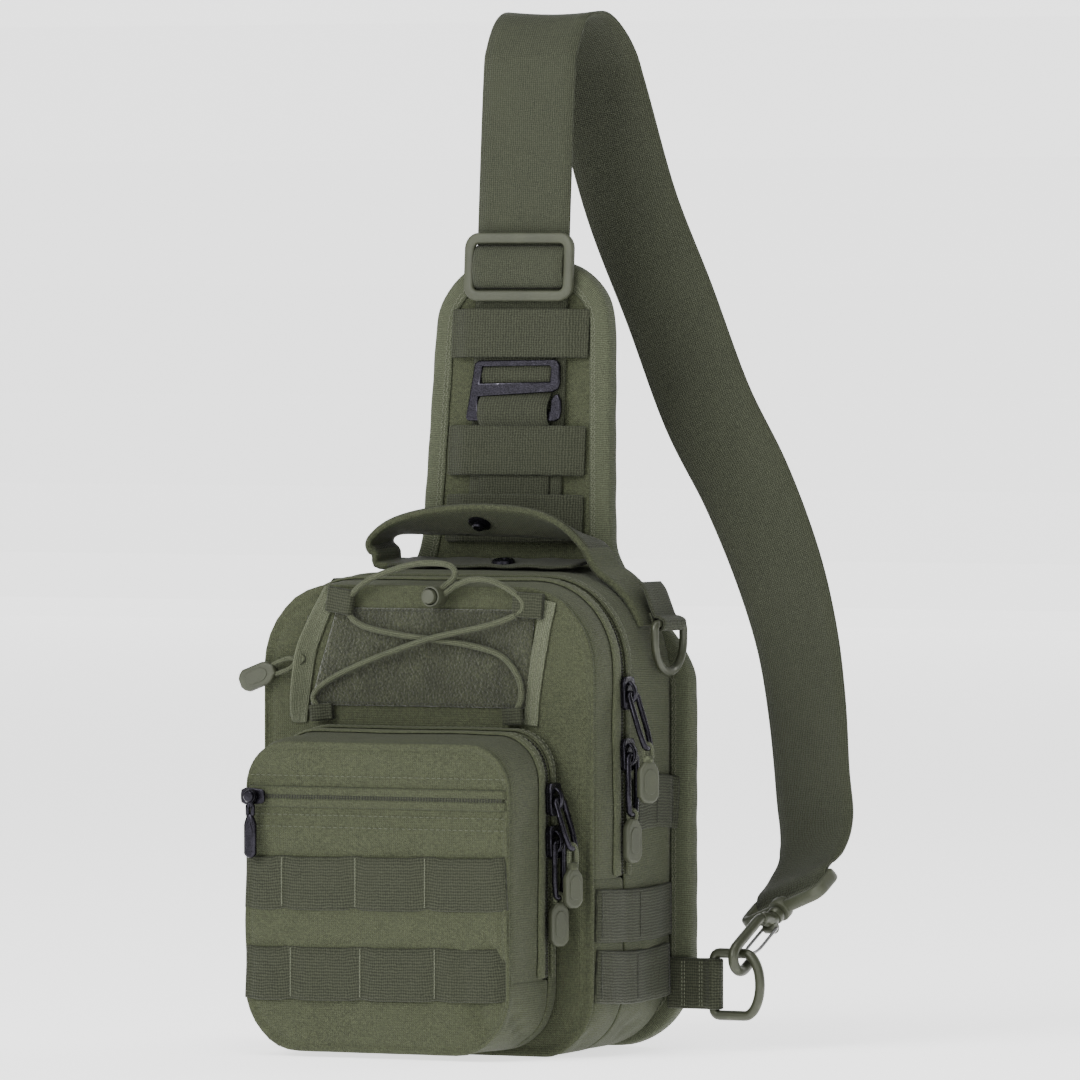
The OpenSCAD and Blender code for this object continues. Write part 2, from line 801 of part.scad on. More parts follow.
module pocket_zip_tape_front() {
    color(black_metal) above(pocket_zip_end + gap)
        pocket_ring(pocket_zip_y - zip_half, pocket_zip_y - gap / 2, cloth_t, zip_inset);
}

module pocket_front_gusset() {
    color(fabric_olive) above(pocket_zip_end + gap)
        pocket_ring(pocket_front_y, pocket_zip_y - zip_half, cloth_t);
}

module pocket_front_panel() {
    foot = pocket_z0 + 1.5;
    color(fabric_olive) intersection() {
        pocket_solid(pocket_front_y - front_t, pocket_front_y);
        box([-pocket_w, pocket_front_y - 10, foot], [pocket_w, pocket_front_y + 10, 300]);
    }
}

// Two rows of load webbing across the pocket's front
module pocket_molle_rows() {
    rows = [28, 70.5];
    t = 1.5;
    y1 = pocket_front_y - front_t;
    color(webbing_olive) for (z = rows)
        box([-pocket_w / 2 + 1, y1 - t, z], [pocket_w / 2 - 1, y1, z + webbing_w]);
}

module flat_zip_tape() {
    t = 0.8;
    half_w = 2;
    x = [-66, 68];
    y1 = pocket_front_y - front_t;
    color(black_metal)
        box([x[0], y1 - t, flat_slider.y - half_w], [x[1], y1, flat_slider.y + half_w]);
}

// ---------------------------------------------------------------- zip sliders and pulls

slider_h = 14;
slider_w = 11;
slider_base = 3;
lug_r = 2.6;
lug_w = 3;

// A slider that lies on a face across X, with its lug upwards and away from that face. Its
// pin hole is at [lug_x, 0, 0].
lug_x = slider_base + 2.2;

module slider_plate() {
    nose_z = slider_h / 2;
    shoulder_z = nose_z - 2.5;
    tail_z = shoulder_z + 2 - slider_h;
    half = slider_w / 2;
    along_x(0, slider_base) polygon([
        [-half, shoulder_z], [-half + 2.5, nose_z], [half - 2.5, nose_z], [half, shoulder_z],
        [half - 1.5, tail_z], [-half + 1.5, tail_z]]);
}

module slider() {
    color(black_metal) {
        slider_plate();
        difference() {
            union() {
                translate([lug_x, lug_w / 2, 0]) rotate([90, 0, 0])
                    cylinder(h = lug_w, r = lug_r, $fn = 32);
                box([slider_base - 0.5, -lug_w / 2, -lug_r], [lug_x, lug_w / 2, lug_r]);
            }
            translate([lug_x, slider_w, 0]) rotate([90, 0, 0])
                cylinder(h = 2 * slider_w, r = pull_wire_r + 0.5, $fn = 24);
        }
    }
}

// A pull that hangs from a slider's lug: a wire loop, a short cord and a moulded tab.
// lean tips the wire loop away from the face.
module pull(lean, wire_l, cord_l, tab_l, tab_w = 11) {
    half = 4.2;
    foot_half = 2.4;
    dir = [sin(lean), 0, -cos(lean)];
    wire_end = wire_l * dir;
    loop = [[0, -half, 0], [0, half, 0],
            wire_end * 0.75 + [0, half, 0], wire_end + [0, foot_half, 0],
            wire_end - [0, foot_half, 0], wire_end * 0.75 - [0, half, 0]];
    tab_t = 5;
    translate([lug_x, 0, 0]) {
        tube(loop, pull_wire_r, [cos(lean), 0, sin(lean)], closed = true);
        translate(wire_end) {
            box([-1.2, -1.5, -cord_l - step], [1.2, 1.5, 1]);
            translate([0, 0, -cord_l]) along_x(-tab_t / 2, tab_t / 2) polygon([
                [-tab_w / 2 + 3, 0], [-tab_w / 2, -4], [-tab_w / 2, -tab_l + 3],
                [-tab_w / 2 + 3, -tab_l], [tab_w / 2 - 3, -tab_l], [tab_w / 2, -tab_l + 3],
                [tab_w / 2, -4], [tab_w / 2 - 3, 0]]);
        }
    }
}

side_face = body_w / 2 + gap;
pocket_face = pocket_w / 2 + gap;

module at_main(i) {
    translate([side_face, zip_y, main_slider_z[i]]) children();
}

module at_pocket(i) {
    translate([pocket_face, pocket_zip_y, pocket_slider_z[i]]) children();
}

module main_slider_upper() { at_main(0) slider(); }
module main_slider_lower() { at_main(1) slider(); }
module main_pull_upper() { color(hardware_olive) at_main(0) pull(pull_lean, 27, 6, 20); }
module main_pull_lower() { color(hardware_olive) at_main(1) pull(0, 28, 2, 21); }
module pocket_slider_upper() { at_pocket(0) slider(); }
module pocket_slider_lower() { at_pocket(1) slider(); }
module pocket_pull_upper() { color(hardware_olive) at_pocket(0) pull(pull_lean, 24, 9, 19, 10); }
module pocket_pull_lower() { color(hardware_olive) at_pocket(1) pull(0, 26, 2, 21, 10); }

// A slider for a pull that turns flat against the face: a post stands on it, with a head
post_r = 1.4;
post_play = 0.4;
eye_x = [3.6, 6.2];

module post_slider() {
    color(black_metal) {
        slider_plate();
        rotate([0, 90, 0]) cylinder(h = eye_x[1] + 1.4, r = post_r, $fn = 32);
        translate([eye_x[1] + 0.4, 0, 0]) rotate([0, 90, 0])
            cylinder(h = 1, r = post_r + 1, $fn = 32);
    }
}

// The pull that turns on that post: an eye, a cord and a tab
module post_pull(cord_l, tab_l, tab_w) {
    eye_r = post_r + post_play + 1.4;
    difference() {
        translate([eye_x[0], 0, 0]) rotate([0, 90, 0])
            cylinder(h = eye_x[1] - eye_x[0], r = eye_r, $fn = 32);
        rotate([0, 90, 0]) cylinder(h = 20, r = post_r + post_play, $fn = 32);
    }
    box([eye_x[0], -1.2, -cord_l - step], [eye_x[1], 1.2, 0.5 - eye_r]);
    translate([0, 0, -cord_l]) along_x(eye_x[0] - 1, eye_x[1] + 1) polygon([
        [-tab_w / 2 + 2, 0], [-tab_w / 2, -4], [-tab_w / 2, -tab_l + 3],
        [-tab_w / 2 + 3, -tab_l], [tab_w / 2 - 3, -tab_l], [tab_w / 2, -tab_l + 3],
        [tab_w / 2, -4], [tab_w / 2 - 2, 0]]);
}

// The flat zip runs across the pocket's front, so its slider lies on its side
module at_flat() {
    translate([flat_slider.x, pocket_front_y - front_t - 0.8 - gap, flat_slider.y])
        rotate([0, 0, -90]) children();
}

module flat_zip_slider() { at_flat() rotate([90, 0, 0]) post_slider(); }
module flat_zip_pull() { color(black_metal) at_flat() post_pull(14, 15, 8); }

// The left zip's slider lies on the front panel, and its pull reaches out to the side
module at_left() {
    translate([left_slider.x, pocket_back_y - 1 - gap, left_slider.y]) rotate([0, 0, -90])
        children();
}

module left_zip_slider() { at_left() rotate([-12, 0, 0]) post_slider(); }

module left_zip_pull() {
    color(hardware_olive) at_left() rotate([left_pull_angle - 90, 0, 0]) post_pull(14, 20, 11);
}

// ---------------------------------------------------------------- parts

back_panel_front();
back_panel_foam();
back_panel_mesh();
back_panel_binding();
rear_gusset();
lower_gusset();
main_zip_tape_rear();
inner_sleeve();
side_webbing();
yoke_bands();
g_hook_webbing();
shoulder_strap();
tail_webbing();
handle_anchor();
snap_socket();
upper_ring_tabs();
strap_end_loop();
carry_handle();
snap_stud();
upper_ring_right();
upper_ring_left();
lower_ring_right();
lower_ring_left();
snap_hook();
hook_gate();
tri_glide();
strap_hump();
g_hook();
front_panel();
front_gusset();
main_zip_tape_front();
loop_panel();
side_strips();
cord_loops();
lacing_cord();
pocket_back_gusset();
pocket_lower_gusset();
pocket_zip_tape_rear();
left_zip_tape();
cord_lock_barrel();
cord_lock_button();
left_zip_slider();
left_zip_pull();
pocket_front_panel();
pocket_front_gusset();
pocket_zip_tape_front();
pocket_molle_rows();
flat_zip_tape();
flat_zip_slider();
flat_zip_pull();
main_slider_upper();
main_pull_upper();
main_slider_lower();
main_pull_lower();
pocket_slider_upper();
pocket_pull_upper();
pocket_slider_lower();
pocket_pull_lower();
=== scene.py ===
from math import atan, copysign, cos, exp, hypot, pi, radians, sin, tan

import bpy
from mathutils import Matrix, Vector, noise
from mathutils.bvhtree import BVHTree


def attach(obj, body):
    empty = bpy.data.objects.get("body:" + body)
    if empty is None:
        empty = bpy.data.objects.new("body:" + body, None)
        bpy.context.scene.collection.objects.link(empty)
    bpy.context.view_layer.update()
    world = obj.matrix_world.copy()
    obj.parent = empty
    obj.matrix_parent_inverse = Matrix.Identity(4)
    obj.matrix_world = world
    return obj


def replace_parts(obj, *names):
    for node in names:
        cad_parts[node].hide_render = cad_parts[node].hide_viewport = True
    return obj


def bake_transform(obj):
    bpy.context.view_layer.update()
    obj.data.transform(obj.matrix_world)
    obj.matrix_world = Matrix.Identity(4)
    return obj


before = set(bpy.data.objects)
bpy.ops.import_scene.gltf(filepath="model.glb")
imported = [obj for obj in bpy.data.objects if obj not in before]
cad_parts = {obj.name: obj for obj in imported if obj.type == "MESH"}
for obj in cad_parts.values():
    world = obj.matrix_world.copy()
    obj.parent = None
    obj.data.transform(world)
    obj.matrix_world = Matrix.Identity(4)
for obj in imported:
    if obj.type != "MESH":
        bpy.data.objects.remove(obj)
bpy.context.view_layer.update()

# Lengths in this script are millimetres, and become metres where a mesh is made.
MM = 0.001

# Main body
BODY_W, BODY_H, BODY_RISE = 178.0, 222.0, 10.0
BODY_TOP_R, BODY_FOOT_R = 38.0, 25.0
FRONT_Y, ZIP_Y, BACK_Y = -43.0, -16.0, 43.0
PANEL_T = 2.5
ZIP_END = 84.0

# Front pocket
POCKET_W, POCKET_H, POCKET_RISE = 142.0, 149.0, 6.0
POCKET_TOP_R, POCKET_FOOT_R, POCKET_Z0 = 21.0, 28.0, 3.0
POCKET_BACK_Y, POCKET_FRONT_Y, POCKET_ZIP_Y = -45.5, -93.0, -56.0
POCKET_ZIP_END = 37.0
POCKET_ROWS = (28.0, 70.5)
FLAT_ZIP_Z = 122.5

# Back panel and yoke
PANEL_W, YOKE_W, YOKE_TOP, YOKE_TOP_W = 190.0, 102.0, 375.0, 95.0
PANEL_FOOT_R, YOKE_TOP_R = 42.0, 33.0
SHOULDER_Z0, SHOULDER_Z1 = 172.0, 245.0
LEAN, LEAN_Z = radians(4), 232.0
BINDING_W = 11.0

# Webbing, handle, and how far a zip slider's bridge stands out
STRAP_W, STRAP_T, WEB_W, WEB_T = 50.0, 2.0, 25.0, 1.5
HANDLE_Y = 20.0
LUG = 5.2

TO_FRONT, TO_BACK = (0, -1, 0), (0, 1, 0)


# ------------------------------------------------------------------ vectors and curves

def vec(p):
    return Vector((float(p[0]), float(p[1]), float(p[2])))


def turn(degrees, axis):
    return Matrix.Rotation(radians(degrees), 4, axis)


def shift(x, y, z):
    return Matrix.Translation((x, y, z))


def smooth_curve(points, k):
    """A smooth curve through the points, with k steps to each stretch."""
    p = [vec(q) for q in points]
    out = []
    for i in range(len(p) - 1):
        a, b, c, d = p[max(i - 1, 0)], p[i], p[i + 1], p[min(i + 2, len(p) - 1)]
        for j in range(k):
            t = j / k
            out.append(0.5 * (2 * b + (c - a) * t + (2 * a - 5 * b + 4 * c - d) * t * t
                              + (3 * b - a - 3 * c + d) * t ** 3))
    return out + [p[-1]]


def tangents(path, closed=False):
    n = len(path)
    if closed:
        return [(path[(i + 1) % n] - path[i - 1]).normalized() for i in range(n)]
    return [(path[min(i + 1, n - 1)] - path[max(i - 1, 0)]).normalized() for i in range(n)]


def lengths(path):
    out = [0.0]
    for a, b in zip(path, path[1:]):
        out.append(out[-1] + (b - a).length)
    return out


def walk(path, stops):
    """The points at the given distances along the path, each with the direction there."""
    along = lengths(path)
    out, i = [], 0
    for d in stops:
        while i < len(path) - 2 and along[i + 1] < d:
            i += 1
        span = max(along[i + 1] - along[i], 1e-9)
        out.append((path[i].lerp(path[i + 1], min(1.0, (d - along[i]) / span)),
                    (path[i + 1] - path[i]).normalized()))
    return out


def spaced(path, pitch):
    """Points every pitch along the path, each with the direction there."""
    total = lengths(path)[-1]
    count = max(1, int(total / pitch))
    return walk(path, [(k + 0.5) * total / count for k in range(count)])


def resample(row, n):
    """The row again with n evenly spaced points."""
    total = lengths(row)[-1]
    return [p for p, _ in walk(row, [total * k / (n - 1) for k in range(n)])]


def nearest(path, p):
    """The number of the path's point that is nearest to p."""
    return min(range(len(path)), key=lambda i: (path[i] - p).length_squared)


def rumple(p, size, depth, seed=0.0):
    """A smooth random displacement at a point, of that wavelength and depth."""
    q = Vector((p[0] / size + seed, p[1] / size - seed, p[2] / size + 2 * seed))
    return depth * (noise.noise(q) + 0.5 * noise.noise(2.1 * q))


def fold(phase):
    """A row of creases: 1 at each crease, 0 on the full cloth between them."""
    return max(0.0, cos(phase)) ** 2


def bump(x, width):
    return exp(-(x / width) ** 2)


def depths(a, b, step):
    n = max(1, round(abs(b - a) / step))
    return [a + (b - a) * k / n for k in range(n + 1)]


# ------------------------------------------------------------------ making pieces

def link(name, data):
    obj = bpy.data.objects.new(name, data)
    bpy.context.scene.collection.objects.link(obj)
    return obj


def instead_of(piece, *nodes):
    """The piece, drawn in place of those CAD nodes."""
    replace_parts(piece, *nodes)
    return piece


def make(name, points, faces, material, body=None, uvs=None):
    """A mesh piece from points in millimetres. uvs has one pair in metres for each face corner."""
    mesh = bpy.data.meshes.new(name)
    mesh.from_pydata([vec(p) * MM for p in points], [], faces)
    if uvs:
        layer = mesh.uv_layers.new(name="Weave")
        for loop, uv in zip(layer.data, (uv for face in uvs for uv in face)):
            loop.uv = uv
    mesh.validate()
    mesh.update()
    mesh.polygons.foreach_set("use_smooth", [True] * len(mesh.polygons))
    obj = link(name, mesh)
    mesh.materials.append(material)
    if body:
        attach(obj, body)
    return obj


def modify(obj, kind, **values):
    m = obj.modifiers.new(kind.title(), kind)
    for key, value in values.items():
        setattr(m, key, value)


def evaluated_mesh(obj):
    bpy.context.view_layer.update()
    graph = bpy.context.evaluated_depsgraph_get()
    return bpy.data.meshes.new_from_object(obj.evaluated_get(graph))


def settle(obj):
    """Turns the piece's modifiers into mesh."""
    mesh = evaluated_mesh(obj)
    obj.modifiers.clear()
    obj.data = mesh
    return obj


def corner_uvs(u, v, i, j):
    return [(u[j] * MM, v[i] * MM), (u[j + 1] * MM, v[i] * MM),
            (u[j + 1] * MM, v[i + 1] * MM), (u[j] * MM, v[i + 1] * MM)]


def grid(name, rows, material, body, closed=False, thick=1.2, flat_uv=False):
    """A cloth piece from rows of points. Each row runs along the cloth; closed joins its ends."""
    n, m = len(rows), len(rows[0])
    mid = [vec(p) for p in rows[n // 2]]
    u = lengths(mid + mid[:1] if closed else mid)
    v = lengths([vec(row[0]) for row in rows])
    faces, uvs = [], []
    for i in range(n - 1):
        for j in range(m if closed else m - 1):
            k = (j + 1) % m
            faces.append((i * m + j, i * m + k, (i + 1) * m + k, (i + 1) * m + j))
            flat = [rows[i][j], rows[i][k], rows[i + 1][k], rows[i + 1][j]]
            uvs.append([(p[0] * MM, p[2] * MM) for p in flat] if flat_uv
                       else corner_uvs(u, v, i, j))
    obj = make(name, [p for row in rows for p in row], faces, material, body, uvs)
    modify(obj, "SOLIDIFY", thickness=abs(thick) * MM, offset=copysign(1, -thick))
    modify(obj, "SUBSURF", levels=1, render_levels=1)
    return settle(obj)


def sweep(name, path, section, material, body, side=None, up=None, closed=False):
    """A solid drawn along a path. section holds (across, out) pairs; side is a direction, or a
    list of directions, for across, and up one for out."""
    m, n = len(section), len(path)
    points = []
    for i, (p, t) in enumerate(zip(path, tangents(path, closed))):
        given = up if side is None else side
        d = given[i] if isinstance(given, list) else vec(given)
        d = (d - t * d.dot(t)).normalized()
        s, o = (t.cross(d), d) if side is None else (d, d.cross(t))
        points += [p + s * a + o * b for a, b in section]
    edge = lengths([Vector((a, b, 0)) for a, b in list(section) + [section[0]]])
    along = lengths(path + ([path[0]] if closed else []))
    faces, uvs = [], []
    for i in range(n if closed else n - 1):
        for j in range(m):
            k, after = (j + 1) % m, (i + 1) % n
            faces.append((i * m + j, i * m + k, after * m + k, after * m + j))
            uvs.append(corner_uvs(edge, along, i, j))
    if not closed:
        faces += [tuple(range(m))[::-1], tuple((n - 1) * m + j for j in range(m))]
        uvs += [[(0.0, 0.0)] * m] * 2
    return make(name, points, faces, material, body, uvs)


def ellipse(a, b, n, power=1.0):
    """A round section. A power under 1 makes it squarer."""
    out = []
    for k in range(n):
        c, s = cos(2 * pi * k / n), sin(2 * pi * k / n)
        out.append((a * copysign(abs(c) ** power, c), b * copysign(abs(s) ** power, s)))
    return out


def strap_section(w, t, parts=8):
    """A flat strap's section: rounded edges, and enough points across to bend."""
    lip = min(0.5, t / 2)
    xs = [-w / 2 + lip + (w - 2 * lip) * k / parts for k in range(parts + 1)]
    top = [(x, t / 2) for x in xs]
    return top + [(w / 2, 0)] + [(x, -t / 2) for x in reversed(xs)] + [(-w / 2, 0)]


def strap(name, path, w, t, material, body, side):
    return sweep(name, path, strap_section(w, t), material, body, side=side)


def tube(name, path, r, material, body, up=TO_BACK, closed=False, sides=10):
    return sweep(name, path, ellipse(r, r, sides), material, body, up=up, closed=closed)


def ring_faces(first, rings, sides):
    """The faces of a closed tube whose rings of points start at point number first."""
    faces = []
    for i in range(first, first + (rings - 1) * sides, sides):
        for j in range(sides):
            k = (j + 1) % sides
            faces.append((i + j, i + k, i + sides + k, i + sides + j))
    last = first + (rings - 1) * sides
    return faces + [tuple(range(first, first + sides))[::-1], tuple(range(last, last + sides))]


def turned(name, profile, place, material, body, n=24):
    """A solid of revolution about Z, from (radius, height) pairs."""
    points = [place @ Vector((r * cos(2 * pi * k / n), r * sin(2 * pi * k / n), z))
              for r, z in profile for k in range(n)]
    obj = make(name, points, ring_faces(0, len(profile), n), material, body)
    obj.data.set_sharp_from_angle(angle=radians(40))
    return obj


def plate(name, outline, low, high, material, body, place, bevel=0.4, holes=()):
    """A flat shape in X and Y between two heights, with softened edges."""
    curve = bpy.data.curves.new(name, "CURVE")
    curve.dimensions = "2D"
    curve.fill_mode = "BOTH"
    for loop in [outline] + list(holes):
        spline = curve.splines.new("POLY")
        spline.points.add(len(loop) - 1)
        for point, (x, y) in zip(spline.points, loop):
            point.co = (x * MM, y * MM, 0, 1)
        spline.use_cyclic_u = True
    curve.extrude = ((high - low) / 2 - bevel) * MM
    curve.bevel_depth = bevel * MM
    curve.bevel_resolution = 2
    curve.offset = -bevel * MM
    pattern = link(name + "_curve", curve)
    mesh = evaluated_mesh(pattern)
    bpy.data.objects.remove(pattern)
    in_metres = place.copy()
    in_metres.translation *= MM
    mesh.transform(in_metres @ shift(0, 0, (low + high) / 2 * MM))
    mesh.materials.clear()
    mesh.materials.append(material)
    mesh.shade_smooth()
    mesh.set_sharp_from_angle(angle=radians(35))
    obj = link(name, mesh)
    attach(obj, body)
    return obj


def join(name, objects, body):
    """One piece from several that move together."""
    if len(objects) > 1:
        with bpy.context.temp_override(active_object=objects[0], selected_editable_objects=objects,
                                       selected_objects=objects, object=objects[0]):
            bpy.ops.object.join()
    objects[0].name = name
    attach(objects[0], body)
    return objects[0]


class Surface:
    """The outside of finished pieces, to lay webbing and stitches on. y is a depth in front."""

    def __init__(self, *objects, y=0.0):
        points, faces = [], []
        for obj in objects:
            first = len(points)
            points += [v.co.copy() for v in obj.data.vertices]
            faces += [tuple(first + i for i in f.vertices) for f in obj.data.polygons]
        self.tree = BVHTree.FromPolygons(points, faces)
        self.y = y

    def drop(self, p, direction, lift, reach=14.0):
        """Where a line through p along direction meets the surface, lifted off it."""
        d = vec(direction).normalized()
        hit, _, _, _ = self.tree.ray_cast((vec(p) - d * reach) * MM, d, 2 * reach * MM)
        return vec(p) if hit is None else hit / MM - d * lift

    def at(self, x, z, lift):
        return self.drop((x, self.y, z), TO_BACK, lift)

    def between(self, a, b, lift, n=30):
        """A line of points on the face, between two (x, z) places."""
        return [self.at(a[0] + (b[0] - a[0]) * k / n, a[1] + (b[1] - a[1]) * k / n, lift)
                for k in range(n + 1)]


def stitches(name, lines, material, body, pitch=3.0, length=2.3, r=0.22, zigzag=0.0):
    """Rows of stitches. lines holds (path, outward direction or list of them)."""
    points, faces = [], []
    rings, sides = 5, 6
    span = hypot(pitch, zigzag) if zigzag else length
    for path, outs in lines:
        total = lengths(path)[-1]
        for k, (p, d) in enumerate(spaced(path, pitch)):
            out = outs
            if isinstance(outs, list):
                out = outs[min(int(k * len(outs) / max(1, total // pitch)), len(outs) - 1)]
            out = vec(out).normalized()
            if zigzag:
                slant = d.cross(out).normalized() * (zigzag if k % 2 else -zigzag)
                d = (d * pitch + slant).normalized()
            out = (out - d * out.dot(d)).normalized()
            s = d.cross(out)
            faces += ring_faces(len(points), rings, sides)
            for i in range(rings):
                a = pi * (0.08 + 0.84 * i / (rings - 1))
                for x, y in ellipse(r, r * 0.8, sides):
                    points.append(p - d * (cos(a) * span / 2) + (s * x + out * y) * sin(a))
    return make(name, points, faces, material, body)


# ------------------------------------------------------------------ materials

def shade(colour, k):
    return tuple(min(1.0, c * k) for c in colour)


class Nodes:
    """Short calls for a material's node tree."""

    def __init__(self, name):
        self.material = bpy.data.materials.new(name)
        self.material.use_nodes = True
        self.tree = self.material.node_tree
        self.shader = self.tree.nodes["Principled BSDF"]

    def put(self, socket, value):
        """A value or another node's output, into a socket. A colour gets its alpha."""
        if isinstance(value, bpy.types.NodeSocket):
            self.tree.links.new(value, socket)
        else:
            socket.default_value = (*value, 1) if isinstance(value, tuple) else value

    def add(self, kind, inputs=None, **values):
        node = self.tree.nodes.new("ShaderNode" + kind)
        for key, value in values.items():
            setattr(node, key, value)
        for key, value in (inputs or {}).items():
            self.put(node.inputs[key], value)
        return node

    def math(self, op, a, b=0.0, c=0.0):
        return self.add("Math", {0: a, 1: b, 2: c}, operation=op).outputs[0]

    def total(self, a, share_a, b, share_b):
        return self.math("MULTIPLY_ADD", a, share_a, self.math("MULTIPLY", b, share_b))

    def ramp(self, value, *stops):
        """A colour or a grey level for each stretch of a value. stops holds (value, colour)."""
        node = self.add("ValToRGB", {0: value})
        while len(node.color_ramp.elements) < len(stops):
            node.color_ramp.elements.new(0.5)
        for e, (at, colour) in zip(node.color_ramp.elements, stops):
            e.position = at
            e.color = (*colour, 1) if isinstance(colour, tuple) else (colour,) * 3 + (1,)
        return node.outputs[0]

    def tones(self, value, colour, *stops):
        """A ramp of one colour, darker and lighter. stops holds (value, brightness)."""
        return self.ramp(value, *[(at, shade(colour, k)) for at, k in stops])

    def mix(self, share, a, b):
        return self.add("Mix", {0: share, 6: a, 7: b}, data_type="RGBA").outputs[2]

    def place(self):
        return self.add("TexCoord").outputs["Object"]

    def noise(self, scale, detail=3.0, rough=0.6):
        return self.add("TexNoise", {"Vector": self.place(), "Scale": scale, "Detail": detail,
                                     "Roughness": rough}).outputs[0]

    def cells(self, scale, randomness=1.0):
        return self.add("TexVoronoi", {"Vector": self.place(), "Scale": scale,
                                       "Randomness": randomness}).outputs[0]

    def weave(self):
        """The two directions along a cloth, in metres."""
        return self.add("SeparateXYZ", {0: self.add("UVMap", uv_map="Weave").outputs[0]}).outputs

    def wave(self, value, pitch_m):
        """A smooth wave from 0 to 1 of that pitch."""
        phase = self.math("MULTIPLY", value, 2 * pi / pitch_m)
        return self.math("MULTIPLY_ADD", self.math("SINE", phase), 0.5, 0.5)

    def bumped(self, height, strength, distance):
        node = self.add("Bump", {"Height": height, "Strength": strength, "Distance": distance})
        self.put(self.shader.inputs["Normal"], node.outputs[0])

    def finish(self, colour, rough, metal=0.0, sheen=0.0, specular=0.5):
        for key, value in (("Base Color", colour), ("Roughness", rough), ("Metallic", metal),
                           ("Sheen Weight", sheen), ("Sheen Roughness", 0.5),
                           ("Specular IOR Level", specular)):
            self.put(self.shader.inputs[key], value)
        return self.material


def pack_cloth(name, colour, pitch=0.0011):
    """Coarse nylon pack cloth: a plain weave, mottled yarns and faint dusty wear."""
    n = Nodes(name)
    uv = n.weave()
    weave = n.math("MULTIPLY", n.wave(uv[0], pitch), n.wave(uv[1], pitch))
    grain = n.noise(1050, 2.0, 0.8)
    yarn = n.noise(640, 2.0)
    base = n.tones(n.total(grain, 0.7, yarn, 0.3), colour, (0.38, 0.62), (0.5, 1), (0.62, 1.4))
    wear = n.ramp(n.noise(24, 3.0, 0.55), (0.4, 0.0), (0.75, 0.3))
    worn = n.mix(wear, base, shade(colour, 1.15))
    gaps = n.math("MULTIPLY", n.math("SUBTRACT", 1.0, weave), 0.25)
    n.bumped(n.total(weave, 0.6, grain, 0.5), 0.8, 0.0006)
    return n.finish(n.mix(gaps, worn, shade(colour, 0.55)), n.ramp(yarn, (0.3, 0.72), (0.7, 0.92)),
                    sheen=0.05, specular=0.18)


def webbing(name, colour, rib=0.0008, yarn=0.0009):
    """Heavy nylon webbing: yarns along it, ribs across, and a slight shine on each yarn."""
    n = Nodes(name)
    uv = n.weave()
    wander = n.math("MULTIPLY", n.noise(260, 2.0), 0.0016)
    ribs = n.wave(n.math("ADD", uv[1], wander), rib)
    yarns = n.wave(n.math("ADD", uv[0], wander), yarn)
    grain = n.noise(1100, 2.0, 0.75)
    lines = n.total(ribs, 0.4, yarns, 0.6)
    base = n.tones(n.total(lines, 0.42, grain, 0.58), colour, (0.34, 0.6), (0.5, 1), (0.66, 1.5))
    wear = n.ramp(n.noise(40), (0.42, 0.0), (0.75, 0.3))
    n.bumped(n.total(lines, 1.0, grain, 0.35), 0.6, 0.0005)
    return n.finish(n.mix(wear, base, shade(colour, 1.3)), n.ramp(lines, (0.2, 0.9), (0.8, 0.66)),
                    sheen=0.05, specular=0.22)


def pile(name, colour):
    """The loop side of hook-and-loop tape: a dense mat of curled loops."""
    n = Nodes(name)
    fuzz = n.noise(1000, 2.0, 0.8)
    tone = n.total(fuzz, 0.75, n.noise(90), 0.25)
    n.bumped(n.total(fuzz, 1.0, n.cells(620), 0.7), 0.9, 0.0008)
    return n.finish(n.tones(tone, colour, (0.36, 0.5), (0.52, 1), (0.66, 1.8)), 0.95, sheen=0.35,
                    specular=0.15)


def air_mesh(name, colour):
    """Open spacer mesh on the wearer's side."""
    n = Nodes(name)
    cells = n.cells(420, 0.12)
    n.bumped(cells, 0.6, 0.0006)
    return n.finish(n.tones(cells, colour, (0.2, 0.5), (0.5, 1), (0.8, 1.2)), 0.9, sheen=0.2,
                    specular=0.2)


def thread(name, colour):
    """Twisted sewing thread, also used for a zip's coil."""
    n = Nodes(name)
    tone = n.noise(1400, 2.0)
    n.bumped(tone, 0.4, 0.0002)
    return n.finish(n.tones(tone, colour, (0.3, 0.7), (0.7, 1.25)), 0.7, sheen=0.1, specular=0.3)


def moulded(name, colour, rough=0.55):
    """Moulded plastic with a fine spark-eroded grain."""
    n = Nodes(name)
    grain = n.noise(1500, 2.0)
    n.bumped(grain, 0.22, 0.00025)
    return n.finish(n.tones(n.noise(70), colour, (0.35, 0.88), (0.65, 1.12)),
                    n.ramp(grain, (0.3, rough - 0.08), (0.7, rough + 0.12)), specular=0.45)


def enamel(name, colour, rough=0.42):
    """Painted metal, rubbed brighter here and there."""
    n = Nodes(name)
    rub = n.noise(240, 4.0, 0.65)
    n.bumped(n.noise(900, 2.0), 0.15, 0.0002)
    return n.finish(n.tones(rub, colour, (0.35, 0.85), (0.6, 1), (0.72, 1.5)),
                    n.ramp(rub, (0.4, rough), (0.7, rough - 0.14)), metal=0.25)


def dark_metal(name, colour):
    """Black-plated zinc: nearly black, with bright worn patches here and there."""
    n = Nodes(name)
    rub = n.noise(380, 4.0, 0.7)
    n.bumped(n.noise(1300, 2.0), 0.2, 0.0002)
    base = n.ramp(rub, (0.4, colour), (0.66, shade(colour, 1.9)), (0.76, (0.16, 0.155, 0.18)))
    return n.finish(base, n.ramp(rub, (0.35, 0.3), (0.7, 0.2)), metal=0.85, specular=0.6)


